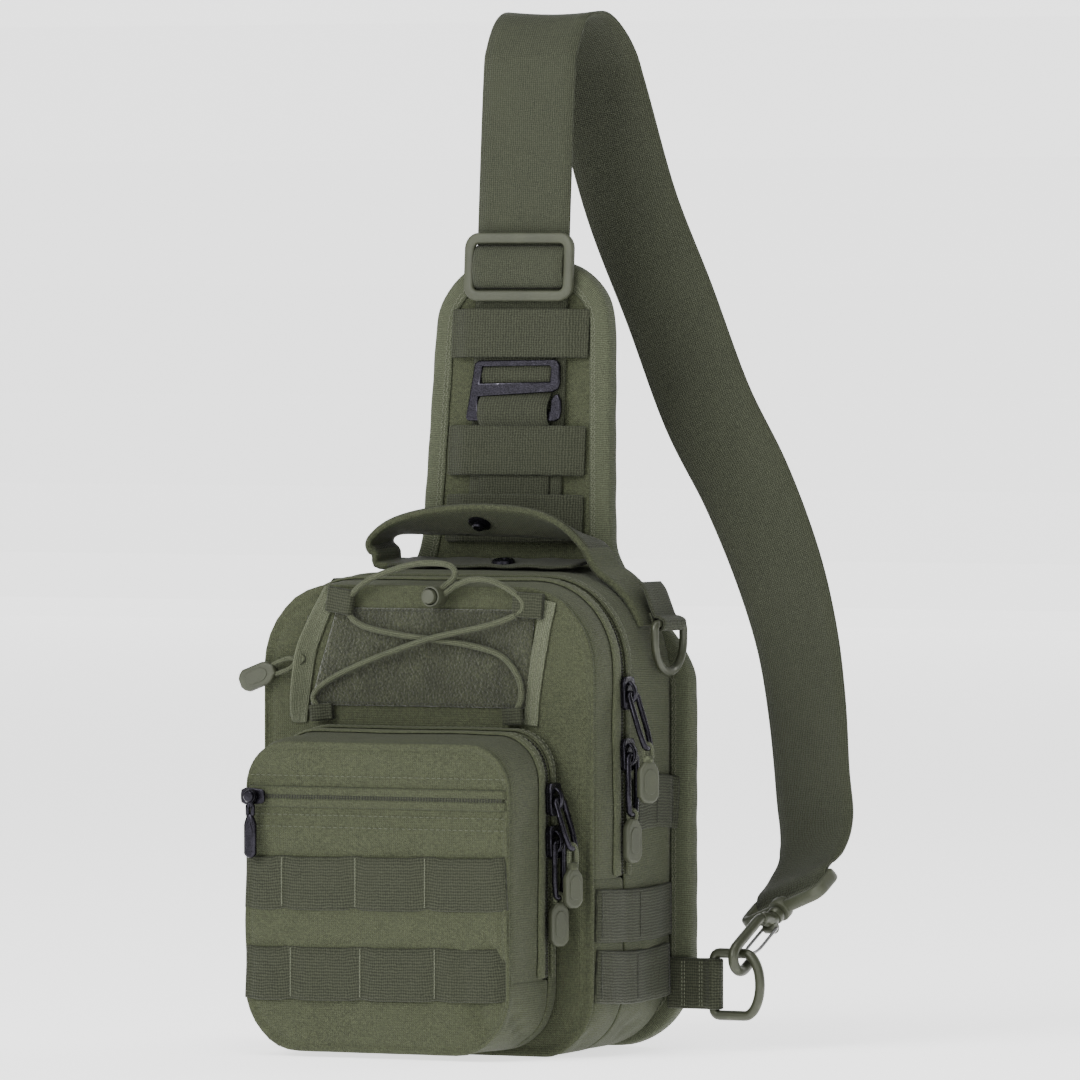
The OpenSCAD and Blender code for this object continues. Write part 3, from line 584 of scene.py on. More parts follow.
OLIVE = (0.046, 0.052, 0.028)
CLOTH = pack_cloth("pack_cloth", OLIVE)
CLOTH_LIGHT = pack_cloth("pack_cloth_band", shade(OLIVE, 1.28), 0.0009)
LINING = pack_cloth("lining_cloth", shade(OLIVE, 0.8), 0.0006)
WEBBING = webbing("webbing", (0.0235, 0.0262, 0.0148), 0.0012, 0.0014)
STRAP = webbing("strap_webbing", (0.029, 0.0325, 0.019), 0.0009, 0.0011)
BINDING = webbing("binding_tape", (0.050, 0.0565, 0.033))
PILE = pile("loop_pile", (0.028, 0.031, 0.017))
MESH = air_mesh("spacer_mesh", (0.036, 0.040, 0.025))
THREAD = thread("thread", (0.088, 0.096, 0.062))
# Thread painted darker than the cloth as painted shade: it stands in for the shadow in the groove where
# cloth-coloured stitches sink in.
THREAD_GROOVE_SHADE = thread("thread_groove_shade", (0.019, 0.021, 0.013))
THREAD_FINE = thread("thread_fine", (0.066, 0.073, 0.045))
TRIM = webbing("trim_tape", (0.074, 0.082, 0.051))
CORD = webbing("shock_cord", (0.053, 0.059, 0.035), 0.0009, 0.0009)
ZIP_TAPE = webbing("zip_tape", (0.035, 0.039, 0.023))
ZIP_COIL = thread("zip_coil", (0.016, 0.017, 0.012))
PLASTIC = moulded("olive_plastic", (0.036, 0.040, 0.0225))
PAINTED = enamel("olive_metal", (0.040, 0.044, 0.026))
BLACK = dark_metal("black_metal", (0.012, 0.011, 0.015))
STEEL = dark_metal("bare_steel", (0.2, 0.2, 0.2))


# ------------------------------------------------------------------ outlines of the bag

def arc(cx, cz, r, start, n, last=False):
    """Points of a quarter circle from an angle in degrees, with or without the last one."""
    return [(cx + r * cos(radians(start + 90 * k / n)), cz + r * sin(radians(start + 90 * k / n)))
            for k in range(n + last)]


def line(a, b, n):
    return [(a[0] + (b[0] - a[0]) * k / n, a[1] + (b[1] - a[1]) * k / n) for k in range(n)]


def both_sides(right):
    """A closed outline from its right half, given from the middle of the foot to the top."""
    return right + [(-x, z) for x, z in right[-2:0:-1]]


def rounded(half, z0, z1, r_top, r_foot, n=8):
    """A round-cornered outline in X and Z from the middle of the foot, right side first. It has
    the same number of points whatever its size."""
    foot, top = half - r_foot, half - r_top
    right = (line((0, z0), (foot, z0), n) + arc(foot, z0 + r_foot, r_foot, -90, n)
             + line((half, z0 + r_foot), (half, z1 - r_top), 3 * n)
             + arc(top, z1 - r_top, r_top, 0, n) + line((top, z1), (0, z1), n))
    return both_sides(right + [(0, z1)])


def body_top(y):
    return BODY_H + BODY_RISE * (y - FRONT_Y) / (BACK_Y - FRONT_Y)


def body_half(t):
    """Half the body's width, t of the way back: full behind the front seam, and drawn in at the
    back seam."""
    full = 1.2 * sin(pi * min(1.0, 1.6 * t + 0.1))
    return BODY_W / 2 + full - 3.6 * max(0.0, t - 0.6) / 0.4


def body_loop(y, inset=0.0):
    """The body's outline at a depth, with slack in the cloth."""
    pts = []
    t = (y - FRONT_Y) / (BACK_Y - FRONT_Y)
    seam = min(1.0, (y - FRONT_Y) / 7, (BACK_Y - y) / 7)
    half = body_half(t) - inset
    for x, z in rounded(half, inset, body_top(y) - inset, BODY_TOP_R + 14 * t,
                        BODY_FOOT_R + 3 + 12 * t):
        low = max(0.0, 1 - z / 70)
        d = seam * (rumple((x, y, z), 46, 1.6, 3.1) + rumple((x, y, z), 17, 0.45, 8.0) - 0.5)
        d -= 1.2 * (1 - seam)
        d -= seam * low * 4.2 * fold(abs(x) * 0.2 + z * 0.16 + y * 0.13)
        d -= 0.9 * bump(y - ZIP_Y, 15) * (d + 1.1)   # the zip holds the cloth tight
        if z < 2.0:
            d = min(d, 0.0)
        side = 1.0 if abs(x) > half - 16 else 0.35
        rise = d * 0.8 if z > 190 else -0.5 * side * low * min(0.0, d)
        pts.append((x + x / half * d * side, y, max(0.3, z + rise)))
    return pts


def pocket_top(y):
    return POCKET_H + POCKET_RISE * (y - POCKET_FRONT_Y) / (POCKET_BACK_Y - POCKET_FRONT_Y)


def pocket_loop(y, inset=0.0):
    """The pocket's outline at a depth, made the same way."""
    pts = []
    seam = min(1.0, (y - POCKET_FRONT_Y) / 6, (POCKET_BACK_Y - y) / 5 + 0.3)
    half = POCKET_W / 2 - inset
    for x, z in rounded(half, POCKET_Z0 + inset, pocket_top(y) - inset, POCKET_TOP_R,
                        POCKET_FOOT_R):
        low = max(0.0, 1 - z / 56)
        d = seam * (rumple((x, y, z), 34, 1.3, 9.4) + rumple((x, y, z), 15, 0.4, 5.0) - 0.3)
        d -= 1.0 * (1 - seam)
        d -= seam * low * 5.0 * fold(abs(x) * 0.24 + z * 0.15 + y * 0.16)
        d -= 0.85 * bump(y - POCKET_ZIP_Y, 14) * (d + 0.95)
        side = 1.0 if abs(x) > half - 14 else 0.3
        rise = d * 0.8 if z > 125 else -0.5 * side * low * min(0.0, d)
        pts.append((x + x / half * d * side, y, z + rise))
    return pts


def split_loop(row, z_cut, upper=True):
    """The part of a closed loop over or under a height, as an open row from right to left (upper)
    or left to right (lower), its ends cut exactly at that height."""
    row = [vec(p) for p in row]
    half = len(row) // 2
    parts = []
    for side in (row[:half + 1], [row[0]] + row[half:][::-1]):
        for i, (a, b) in enumerate(zip(side, side[1:])):
            if a.z < z_cut <= b.z:
                cut = [a.lerp(b, (z_cut - a.z) / (b.z - a.z))]
                parts.append(cut + side[i + 1:] if upper else side[:i + 1] + cut)
                break
    right, left = parts
    return right + left[::-1][1:] if upper else left[::-1] + right[1:]


def shell(name, loop, y0, y1, material, body, cut=None, upper=True, count=120, step=3.5):
    """A stretch of a bag's side wall between two depths: the whole way round, or over or under a
    height."""
    rows = [loop(y) for y in depths(y0, y1, step)]
    if cut is not None:
        rows = [resample(split_loop(r, cut, upper), count) for r in rows]
    return grid(name, rows, material, body, closed=cut is None, thick=-1.4)


def closed_face(name, loop, y_seam, inset, y, material, body, puff=0.0, wave=0.6, seed=0.0,
                groove=0.8, shape=None):
    """A flat cloth panel across X and Z at a depth, filled inside the wall's outline at its seam
    and a little full in the middle. It is a grid of rows that follow the outline inwards."""
    pts = [Vector((p[0], 0, p[2])) for p in loop(y_seam, inset)]
    centre = Vector((0, 0, sum(p.z for p in pts) / len(pts)))
    shares = [1, 0.988, 0.976, 0.964, 0.952, 0.936, 0.91, 0.87, 0.82]
    rows = []
    for s in shares + [0.75 - 0.075 * k for k in range(11)]:
        row = []
        edge = min(1.0, (1 - s) * 6)
        for p in pts:
            q = centre + (p - centre) * s
            d = puff * (1 - s * s) + edge * rumple((q.x, 0, q.z), 38, wave, seed)
            d += edge * rumple((q.x, 0, q.z), 14, 0.3 * wave, seed + 3)
            d -= groove * bump(s - 0.955, 0.014)
            if shape:
                d += shape(q.x, q.z)
            row.append((q.x, y - d, q.z))
        rows.append(row)
    return grid(name, rows, material, body, closed=True, flat_uv=True)


# ------------------------------------------------------------------ main body and pocket

rear_wall = shell("rear_side_wall", body_loop, -13.6, 42.6, CLOTH, "bag")
lower_wall = shell("lower_side_wall", body_loop, -42.6, -14.4, CLOTH, None, ZIP_END + 0.6, False, 70)
lid_wall = shell("lid_side_wall", body_loop, -42.8, -18.4, CLOTH, "lid", ZIP_END - 0.3, count=110)
closed_face("rear_cloth", body_loop, 41.8, 0.6, 41.3, CLOTH, "bag", wave=0.2, groove=0.0)
front_face = closed_face("front_panel_cloth", body_loop, -42.0, 0.0, -44.6, CLOTH, "lid", puff=0.5,
                         seed=2.0, shape=lambda x, z: -0.8 * bump(z - 155, 12))
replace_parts(rear_wall, "rear_gusset")
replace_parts(lower_wall, "lower_gusset")
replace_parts(lid_wall, "front_gusset")
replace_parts(front_face, "front_panel")


def pocket_shape(x, z):
    """The pocket's front is fullest low down, and pulled in along the webbing and the zip."""
    tight = sum(bump(z - row - WEB_W / 2, 9) for row in POCKET_ROWS)
    tight += 0.8 * bump(z - FLAT_ZIP_Z, 7)
    pleat = bump(x - 58, 14) * bump(z - 32, 20)
    return (1.6 * bump(z - 62, 15) + 1.1 * bump(z - 105, 10) - 0.5 * tight
            - 4.0 * pleat * fold(x * 0.3 + z * 0.12) - 1.5 * pleat)


pocket_rear = shell("pocket_rear_wall", pocket_loop, POCKET_ZIP_Y + 2.4, POCKET_BACK_Y - 0.4,
                    CLOTH, "lid", step=3.0)
pocket_low = shell("pocket_lower_wall", pocket_loop, POCKET_FRONT_Y + 0.4, POCKET_ZIP_Y + 1.8,
                   CLOTH, None, POCKET_ZIP_END + 0.6, False, 64, step=3.0)
pocket_wall = shell("pocket_side_wall", pocket_loop, POCKET_FRONT_Y + 0.2, POCKET_ZIP_Y - 2.4,
                    CLOTH, "pocket_lid", POCKET_ZIP_END - 0.3, count=100, step=3.0)
pocket_face = closed_face("pocket_front_cloth", pocket_loop, POCKET_FRONT_Y + 0.8, 0.0,
                          POCKET_FRONT_Y - 1.6, CLOTH, "pocket_lid", puff=1.2, seed=5.0, wave=0.7,
                          shape=pocket_shape)
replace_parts(pocket_rear, "pocket_back_gusset")
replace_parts(pocket_low, "pocket_lower_gusset")
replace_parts(pocket_wall, "pocket_front_gusset")
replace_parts(pocket_face, "pocket_front_panel")


# ------------------------------------------------------------------ back panel and yoke

def panel_half(z):
    """Half the panel's width at a height."""
    t = min(1.0, max(0.0, (z - SHOULDER_Z0) / (SHOULDER_Z1 - SHOULDER_Z0)))
    return YOKE_W / 2 + (PANEL_W - YOKE_W) / 4 * (1 + cos(pi * t))


def panel_side(inset, n=8):
    """The right side of the panel's outline, from the foot to the top, drawn in by inset."""
    foot, top = PANEL_W / 2 - PANEL_FOOT_R, YOKE_TOP_W / 2 - YOKE_TOP_R
    pts = line((0, inset), (foot, inset), n)
    pts += arc(foot, PANEL_FOOT_R, PANEL_FOOT_R - inset, -90, n)
    pts += line((PANEL_W / 2 - inset, PANEL_FOOT_R), (PANEL_W / 2 - inset, SHOULDER_Z0), 3 * n)
    rise = SHOULDER_Z1 - SHOULDER_Z0
    for k in range(2 * n):
        t = k / (2 * n)
        slope = (PANEL_W - YOKE_W) / 4 * pi * sin(pi * t) / rise
        norm = hypot(1, slope)
        z = SHOULDER_Z0 + rise * t
        pts.append((panel_half(z) - inset / norm, z - inset * slope / norm))
    pts += line((YOKE_W / 2 - inset, SHOULDER_Z1), (YOKE_TOP_W / 2 - inset, YOKE_TOP - YOKE_TOP_R),
                2 * n)
    pts += arc(top, YOKE_TOP - YOKE_TOP_R, YOKE_TOP_R - inset, 0, n)
    return pts + line((top, YOKE_TOP - inset), (0, YOKE_TOP - inset), n)


def panel_outline(inset):
    return both_sides(panel_side(inset) + [(0, YOKE_TOP - inset)])


def yoke_y(z, behind):
    """Depth of a surface that lies behind the panel's front face: upright to the lean line."""
    return BACK_Y + behind + max(0.0, z - LEAN_Z) * tan(LEAN)


def on_yoke(x, out, z):
    """A point on the leaning yoke. out is towards the front and z is measured up from the floor."""
    up = z - LEAN_Z
    return Vector((x, BACK_Y - out * cos(LEAN) + up * sin(LEAN),
                   LEAN_Z + out * sin(LEAN) + up * cos(LEAN)))


def half_at(side, z):
    """Half the width of the outline whose right side is given, at a height."""
    half = 2.0
    for (x0, z0), (x1, z1) in zip(side, side[1:]):
        if min(z0, z1) <= z <= max(z0, z1):
            half = max(half, max(x0, x1) if z0 == z1 else x0 + (x1 - x0) * (z - z0) / (z1 - z0))
    return half


def panel_front():
    """The panel's front cloth, as a grid of rows from side to side."""
    inset, behind = BINDING_W - 4, 0.6
    side = panel_side(inset)
    rows = []
    for i in range(91):
        z = inset + (YOKE_TOP - 2 * inset) * i / 90
        half = half_at(side, z)
        row = []
        for k in range(31):
            u = -1 + 2 * k / 30
            x = half * u
            edge = min(1.0, (1 - abs(u)) * half / 10, (z - inset) / 10 + 0.02,
                       (YOKE_TOP - inset - z) / 10 + 0.02)
            full = edge * (rumple((x, behind, z), 40, 0.7, 1.0) - 0.35)
            row.append((x, yoke_y(z, behind) + full, z))
        rows.append(row)
    return grid("yoke_front_cloth", rows, CLOTH, "bag", thick=1.0, flat_uv=True)


def channels(x, z):
    """The back pad is sewn into three fields, with a channel down the middle for air."""
    deep = bump(x, 6) * (1 if z < 215 else 0) + bump(z - 78, 4) + bump(z - 150, 4)
    deep += bump(z - 222, 5) + bump(z - 300, 4)
    return -3.0 * min(1.0, deep)


def swell(pad):
    """Blows the pad up a little in a cloth simulation."""
    cloth = pad.modifiers.new("Cloth", "CLOTH")
    cloth.settings.use_pressure = True
    cloth.settings.uniform_pressure_force = 4.0
    cloth.settings.effector_weights.gravity = 0.0
    cloth.settings.tension_stiffness = 25
    cloth.settings.compression_stiffness = 25
    for frame_number in range(1, 21):
        bpy.context.scene.frame_set(frame_number)
    settle(pad)
    bpy.context.scene.frame_set(1)


def back_pad():
    """The foam pad on the wearer's side: a block that swells, then gets its sewn channels."""
    outline = panel_outline(BINDING_W - 2.5)
    n = len(outline)
    front, back = 1.6, 6.6
    points = [(x, yoke_y(z, y), z) for y in (front, back) for x, z in outline]
    faces = [tuple(range(n))[::-1], tuple(range(n, 2 * n))]
    faces += [(k, (k + 1) % n, n + (k + 1) % n, n + k) for k in range(n)]
    pad = make("back_pad", points, [f[::-1] for f in faces], MESH)
    modify(pad, "REMESH", mode="VOXEL", voxel_size=0.0045)
    settle(pad)
    rest = [v.co.copy() for v in pad.data.vertices]
    swell(pad)
    front_cap, back_cap, side_cap = 0.0, 4.0, 0.6
    for v, p in zip(pad.data.vertices, rest):
        q = p / MM
        behind = q.y > yoke_y(q.z, (front + back) / 2)
        move = (v.co - p) / MM
        for axis, cap in enumerate((side_cap, back_cap if behind else front_cap, side_cap)):
            move[axis] = max(-cap, min(cap, move[axis]))
        if behind:
            edge = min(1.0, (panel_half(q.z) - abs(q.x)) / 16)
            move.y += (1.2 + 0.6 * rumple(q, 50, 1.0, 4.0)) * max(0.0, edge)
            move.y = max(-3.4, move.y + channels(q.x, q.z))
        v.co = (q + move) * MM
    modify(pad, "SMOOTH", factor=0.5, iterations=3)
    modify(pad, "SUBSURF", levels=1, render_levels=1)
    settle(pad)
    pad.data.polygons.foreach_set("use_smooth", [True] * len(pad.data.polygons))
    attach(pad, "bag")
    return pad


def binding():
    """The tape folded over the panel's edge, on both faces."""
    outer, inner = panel_outline(0.9), panel_outline(BINDING_W)
    # Front face from the inner edge out, over the edge, and back in behind
    profile = [(1.0, -0.1), (0.96, -0.75), (0.5, -1.0), (0.08, -0.8), (-0.06, 0.4), (-0.1, 2.6),
               (-0.1, 5.4), (-0.06, 8.0), (0.08, 9.6), (0.5, 9.9), (0.96, 9.6), (1.0, 9.0)]
    rows = []
    for share, behind in profile:
        row = []
        for k, ((x0, z0), (x1, z1)) in enumerate(zip(outer, inner)):
            x, z = x0 + (x1 - x0) * share, z0 + (z1 - z0) * share
            w = 0.35 * sin(k * 1.7) + rumple((x, 0, z), 16, 0.5, 2.0)
            row.append((x + w * 0.5, yoke_y(z, behind + 0.25 * w), max(0.4, z)))
        rows.append(row)
    return grid("panel_binding", rows, BINDING, "bag", closed=True, thick=-0.8)


def edge_stitches():
    """Dense zigzag stitching along the tape's inner edge, on both faces of the panel."""
    lines = []
    for behind, out, in_from_edge in ((-0.75, TO_FRONT, 1.7), (9.9, TO_BACK, 1.7),
                                      (-0.95, TO_FRONT, 3.2)):
        path = [Vector((x, yoke_y(z, behind), z))
                for x, z in panel_outline(BINDING_W - in_from_edge) if z > 8]
        half = len(path) // 2
        lines += [(path[:half + 1], out), (path[half:], out)]
    stitches("binding_stitches", lines, THREAD, "bag", pitch=1.5, r=0.27, zigzag=1.0)


instead_of(panel_front(), "back_panel_front")
instead_of(back_pad(), "back_panel_foam", "back_panel_mesh")
instead_of(binding(), "back_panel_binding")
edge_stitches()


# ------------------------------------------------------------------ zips

def zip_teeth(name, path, outs, body, width=1.5):
    """The moulded coil along one side of a zip: a short rounded bar at each turn."""
    points, faces = [], []
    r, sides = 0.55, 6
    for p, d in spaced(path, 1.5):
        out = outs[nearest(path, p)]
        side = d.cross(out).normalized()
        faces += ring_faces(len(points), 4, sides)
        for end, shrink in ((-1, 0.55), (-0.7, 1.0), (0.7, 1.0), (1, 0.55)):
            for x, y in ellipse(0.62, 1.0, sides):
                points.append(p + side * end * width / 2 + (d * x + out * y) * r * shrink)
    return make(name, points, faces, ZIP_COIL, body)


def outward(path):
    """Outward directions along a path around the body, square to it and to Y."""
    outs = []
    for p, t in zip(path, tangents(path)):
        o = Vector(TO_BACK).cross(t).normalized()
        outs.append(o if o.dot(Vector((p.x, 0, p.z - 100))) > 0 else -o)
    return outs


def around(loop, y, inset, cut, count):
    """A row of points around the upper part of a wall."""
    return resample(split_loop(loop(y, inset), cut), count)


def zip_side(name, loop, zip_y, to, zip_end, body, node):
    """One side of a zip, behind its middle (to 1) or in front (to -1): its tape from the wall's
    edge to the middle, and half of its coil."""
    cut = zip_end + 0.5
    ys = [zip_y + 3.4 * to, zip_y + 1.8 * to, zip_y + 0.2 * to]
    cloth = grid(name + "_tape", [around(loop, y, 1.1, cut, 110) for y in ys], ZIP_TAPE, body,
                 thick=0.8)
    path = around(loop, zip_y + 0.95 * to, 0.5, cut + 1, 240)
    coil = zip_teeth(name + "_coil", path, outward(path), body)
    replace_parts(join(name, [cloth, coil], body), node)


def edge_band(name, loop, y0, y1, cut, body, material=CLOTH_LIGHT):
    """A folded band of cloth sewn along a wall beside a zip, and its rows of stitches."""
    lift = 0.7
    ys = depths(y0, y1, 2.2)
    rises = [lift if 0 < i < len(ys) - 1 else 0.15 * lift for i in range(len(ys))]
    grid(name, [around(loop, y, -rise, cut, 110) for y, rise in zip(ys, rises)], material, body,
         thick=0.8)
    paths = [around(loop, y0 + (y1 - y0) * k, -lift - 0.35, cut, 160) for k in (0.25, 0.8)]
    stitches(name + "_stitches", [(path, outward(path)) for path in paths], THREAD, body)


for name, loop, y, end, rear, front in (("main", body_loop, ZIP_Y, ZIP_END, "bag", "lid"),
                                        ("pocket", pocket_loop, POCKET_ZIP_Y, POCKET_ZIP_END,
                                         "lid", "pocket_lid")):
    zip_side(name + "_zip_rear", loop, y, 1, end, rear, name + "_zip_tape_rear")
    zip_side(name + "_zip_front", loop, y, -1, end, front, name + "_zip_tape_front")

edge_band("lid_zip_band", body_loop, ZIP_Y - 10.5, ZIP_Y - 2.6, ZIP_END + 1, "lid")
edge_band("rear_zip_band", body_loop, ZIP_Y + 2.6, ZIP_Y + 8.5, ZIP_END + 1, "bag", CLOTH)
edge_band("pocket_zip_band", pocket_loop, POCKET_ZIP_Y - 9.5, POCKET_ZIP_Y - 2.6,
          POCKET_ZIP_END + 1, "pocket_lid")
edge_band("pocket_rear_band", pocket_loop, POCKET_ZIP_Y + 2.6, POCKET_ZIP_Y + 7.5,
          POCKET_ZIP_END + 1, "lid", CLOTH)

# The turned edges where the two faces meet their side walls
for name, seam, body in (("front_panel_seam", body_loop(-43.4, 0.6), "lid"),
                         ("pocket_front_seam", pocket_loop(POCKET_FRONT_Y - 0.6, 0.5), "pocket_lid")):
    tube(name, [vec(p) for p in seam], 1.1, CLOTH, body, closed=True, sides=8)


# ------------------------------------------------------------------ webbing on the body's sides

def side_row(name, z, y0, y1, side, sag):
    """A row of webbing on the body's side, with its three tacks."""
    path = []
    for k in range(25):
        y = y0 + (y1 - y0) * k / 24
        p = walls.drop((side * 89, y, z), (-side, 0, 0), 0.9)
        path.append(Vector((p.x, y, z + sag * sin(pi * k / 24))))
    middle = [(a + 2 * b + c) / 4 for a, b, c in zip(path, path[1:], path[2:])]
    path = path[:1] + middle + path[-1:]
    row = strap(name, path, WEB_W, WEB_T, WEBBING, None, (0, 0, 1))
    tacks = []
    for y in (y0 + 3, (y0 + y1) / 2, y1 - 3):
        p = min(path, key=lambda q: abs(q.y - y))
        tacks.append(([p + Vector((side * 0.95, 0, dz)) for dz in (-10.5, 0, 10.5)], (side, 0, 0)))
    # The tacks use the thread painted dark as the shade of their groove.
    sewn = stitches(name.replace("webbing", "tacks"), tacks, THREAD_GROOVE_SHADE, None, pitch=1.3, r=0.3,
                    zigzag=0.5)
    return join(name, [row, sewn], "bag")


walls = Surface(rear_wall, lower_wall)
side_rows = {}
for side, tag in ((1, "right"), (-1, "left")):
    for label, z, y0, y1, sag in (("top", 117.5, -5.0, 42.4, 1.5), ("middle", 67, -42.0, 42.4, -1.2),
                                  ("foot", 38.5, -42.0, 37.6, -2.0)):
        side_rows[tag, label] = side_row(f"side_webbing_{tag}_{label}", z, y0, y1, side, sag)
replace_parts(side_rows["right", "top"], "side_webbing")


# ------------------------------------------------------------------ pocket webbing and flat zip

pocket_front = Surface(pocket_face, y=POCKET_FRONT_Y - 3)
body_front = Surface(front_face, y=FRONT_Y - 3)


def load_row(name, z0, tacks):
    """A row of load webbing across the pocket, tacked down every 38 mm and loose between."""
    z = z0 + WEB_W / 2
    path = []
    for k in range(57):
        x = -69.5 + 139 * k / 56
        loose = 1 - max(bump(x - t, 4.5) for t in tacks + [-69, 69])
        y = pocket_front.at(x, z, 0.95).y
        path.append(Vector((x, y - 0.8 * loose, z - 0.8 * loose + x * 0.012)))
    row = strap(name, path, WEB_W, WEB_T, WEBBING, "pocket_lid", (0, 0, 1))
    lines = []
    for x in tacks:
        p = min(path, key=lambda q: abs(q.x - x))
        lines.append(([p + Vector((0, -0.95, dz)) for dz in (-11.5, 0, 11.5)], TO_FRONT))
    sewn = stitches(name + "_tacks", lines, THREAD, "pocket_lid", pitch=0.8, r=0.36, zigzag=0.55)
    return join(name, [row, sewn], "pocket_lid")


instead_of(load_row("pocket_load_webbing_low", POCKET_ROWS[0], [-44.5, -7, 33]), "pocket_molle_rows")
load_row("pocket_load_webbing_high", POCKET_ROWS[1], [-48.5, -11, 28.5])


def across_pocket(above_zip, lift, x0=-68, x1=69):
    z = FLAT_ZIP_Z + above_zip
    return pocket_front.between((x0, z), (x1, z), lift, 50)


def flat_zip():
    """The zip across the pocket's front: a dark slit of tape between two folded edges."""
    body = "pocket_lid"
    parts = [strap("flat_zip_tape_cloth", across_pocket(0, 0.2, -66, 67.5), 4.6, 0.8, ZIP_TAPE, body,
                   (0, 0, 1)),
             zip_teeth("flat_zip_coil", across_pocket(0, 0.45, -65, 67), [Vector(TO_FRONT)] * 51,
                       body, width=2.2)]
    for above in (2.8, -2.8):
        parts.append(strap("flat_zip_edge", across_pocket(above, 0.3), 4.2, 1.8, CLOTH, body,
                           (0, 0, 1)))
    return join("flat_zip", parts, body)


instead_of(flat_zip(), "flat_zip_tape")
stitches("pocket_face_stitches",
         [(across_pocket(above, 0.25), TO_FRONT) for above in (10, 4.4, -4.4, -8.4, -14)],
         THREAD_FINE, "pocket_lid", r=0.24)


# ------------------------------------------------------------------ front of the body

def loop_patch():
    """The four-cornered pile panel, wider at its foot."""
    (left, right), (top_left, top_right), (z0, z1) = (-63, 54.5), (-48.5, 58.5), (164, 210.5)
    steps = 28
    rows = []
    for i in range(steps + 1):
        v = i / steps
        row = []
        for j in range(steps + 1):
            u = j / steps
            x = (left + (right - left) * u) * (1 - v) + (top_left + (top_right - top_left) * u) * v
            p = body_front.at(x, z0 + (z1 - z0) * v, 0.2)
            row.append((p.x, p.y - 0.25 * sin(u * 9) * sin(v * 5), p.z))
        rows.append(row)
    return grid("loop_pile_panel", rows, PILE, "lid", thick=-1.3)


# The middle line of each strip, in X and Z
STRIP_LINES = {
    "left": [(-68.6, 156), (-67.6, 164), (-65.8, 176), (-63.4, 190), (-58.8, 202), (-50.6, 219.5)],
    "right": [(55.6, 156), (57.0, 170), (59.6, 186), (62.8, 202), (65.6, 215)]}
strip_curves = {tag: smooth_curve([(x, 0, z) for x, z in pts], 6)
                for tag, pts in STRIP_LINES.items()}


def strip_point(tag, share, across, lift=0.0):
    """A point on a strip: share of its length, and how far across it from its middle. The left
    strip is a flap whose outer edge stands over the zip behind it."""
    path = strip_curves[tag]
    i = min(int(share * (len(path) - 1)), len(path) - 2)
    a, b = path[i], path[i + 1]
    side = Vector((b.z - a.z, 0, a.x - b.x)).normalized()
    p = a.lerp(b, share * (len(path) - 1) - i) + side * across
    flap = 0.0
    if tag == "left":
        flap = 7.3 * sin(pi * share) ** 0.6 * max(0.0, 0.5 - across / 8) ** 1.4
    return body_front.at(p.x, p.z, 0.2 + lift) + Vector((0, -flap, 0))


def strips():
    pieces = []
    for tag in STRIP_LINES:
        rows = [[strip_point(tag, i / 40, -4 + 8 * j / 6) for j in range(7)] for i in range(41)]
        pieces.append(grid(f"front_strip_{tag}", rows, TRIM, "lid", thick=-1.2))
    return join("front_strips", pieces, "lid")


instead_of(loop_patch(), "loop_panel")
instead_of(strips(), "side_strips")
stitches("strip_stitches", [([strip_point(tag, 0.01 + 0.98 * i / 60, across, 1.25)
                              for i in range(61)], TO_FRONT)
                            for tag in STRIP_LINES for across in (-2.7, 0, 2.7)],
         THREAD, "lid", pitch=1.5, r=0.3, zigzag=0.9)
# These rows use the thread painted dark as the shade of their groove.
stitches("front_stitches", [(body_front.between((x0, z), (x1, z), 1.7), TO_FRONT)
                            for x0, x1, z in ((-47.0, 57.0, 209.2), (-61.0, 54.0, 165.6))],
         THREAD_GROOVE_SHADE, "lid", pitch=2.6, length=1.9, r=0.24)

# ------------------------------------------------------------------ yoke and shoulder strap

# The strap's middle line, from under the yoke's bands over the top and down to its end loop
STRAP_ROUTE = [
    (0, 42.6, 243), (0, 50.2, 352), (0, 57.4, 455), (0.5, 60.5, 477), (2, 70, 491),
    (6.5, 84, 490), (12, 96, 475), (15, 103.5, 455), (26, 114, 402), (44.7, 118, 354),
    (66, 116, 305), (87, 116.5, 267), (104.5, 115, 229), (117, 111, 195),
    (125, 106, 162), (129.5, 103, 128), (131.5, 103, 106), (131, 99.5, 92.5),
    (128.8, 93.1, 83.5), (128.1, 84.9, 77.8), (129.3, 83.4, 72.9), (131.3, 88.1, 72)]
# The direction across the strap at each of those points
STRAP_ACROSS = [(1, 0, 0)] * 6 + [
    (0.99, 0, 0.1), (0.97, 0, 0.2), (0.95, 0, 0.31), (0.93, 0, 0.36),
    (0.92, 0, 0.39), (0.92, -0.03, 0.385), (0.94, -0.1, 0.33), (0.95, -0.2, 0.23),
    (0.94, -0.25, 0.25), (0.92, -0.3, 0.28), (0.9, -0.3, 0.31)] + [(0.893, -0.303, 0.333)] * 5

main_strap = strap("shoulder_strap", smooth_curve(STRAP_ROUTE, 9), STRAP_W, STRAP_T, STRAP, "bag",
                   smooth_curve(STRAP_ACROSS, 9))
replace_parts(main_strap, "shoulder_strap")


def yoke_band(name, z0, z1):
    """A band of webbing across the yoke, sewn at its ends and standing over the strap."""
    half = 37.0
    rows = []
    for i in range(13):
        z = z0 + (z1 - z0) * i / 12
        row = []
        for k in range(41):
            x = -half + 2 * half * k / 40
            rise = min(1.0, max(0.0, (half - abs(x)) / 12))
            rise = rise * rise * (3 - 2 * rise)
            row.append(on_yoke(x, 0.75 + 4.1 * rise + rumple((x, 0, z), 22, 0.25, z0), z))
        rows.append(row)
    band = grid(name, rows, WEBBING, "bag", thick=-1.4)
    lines = [([on_yoke(x, 1.75, z0 + 1.2 + (z1 - z0 - 2.4) * k / 20) for k in range(21)],
              (0, -1, 0.07)) for x in (-half + 1.6, -half + 4.0, half - 4.0, half - 1.6)]
    sewn = stitches(name + "_stitches", lines, THREAD, "bag", pitch=1.8, length=1.5, r=0.26)
    return join(name, [band, sewn], "bag")


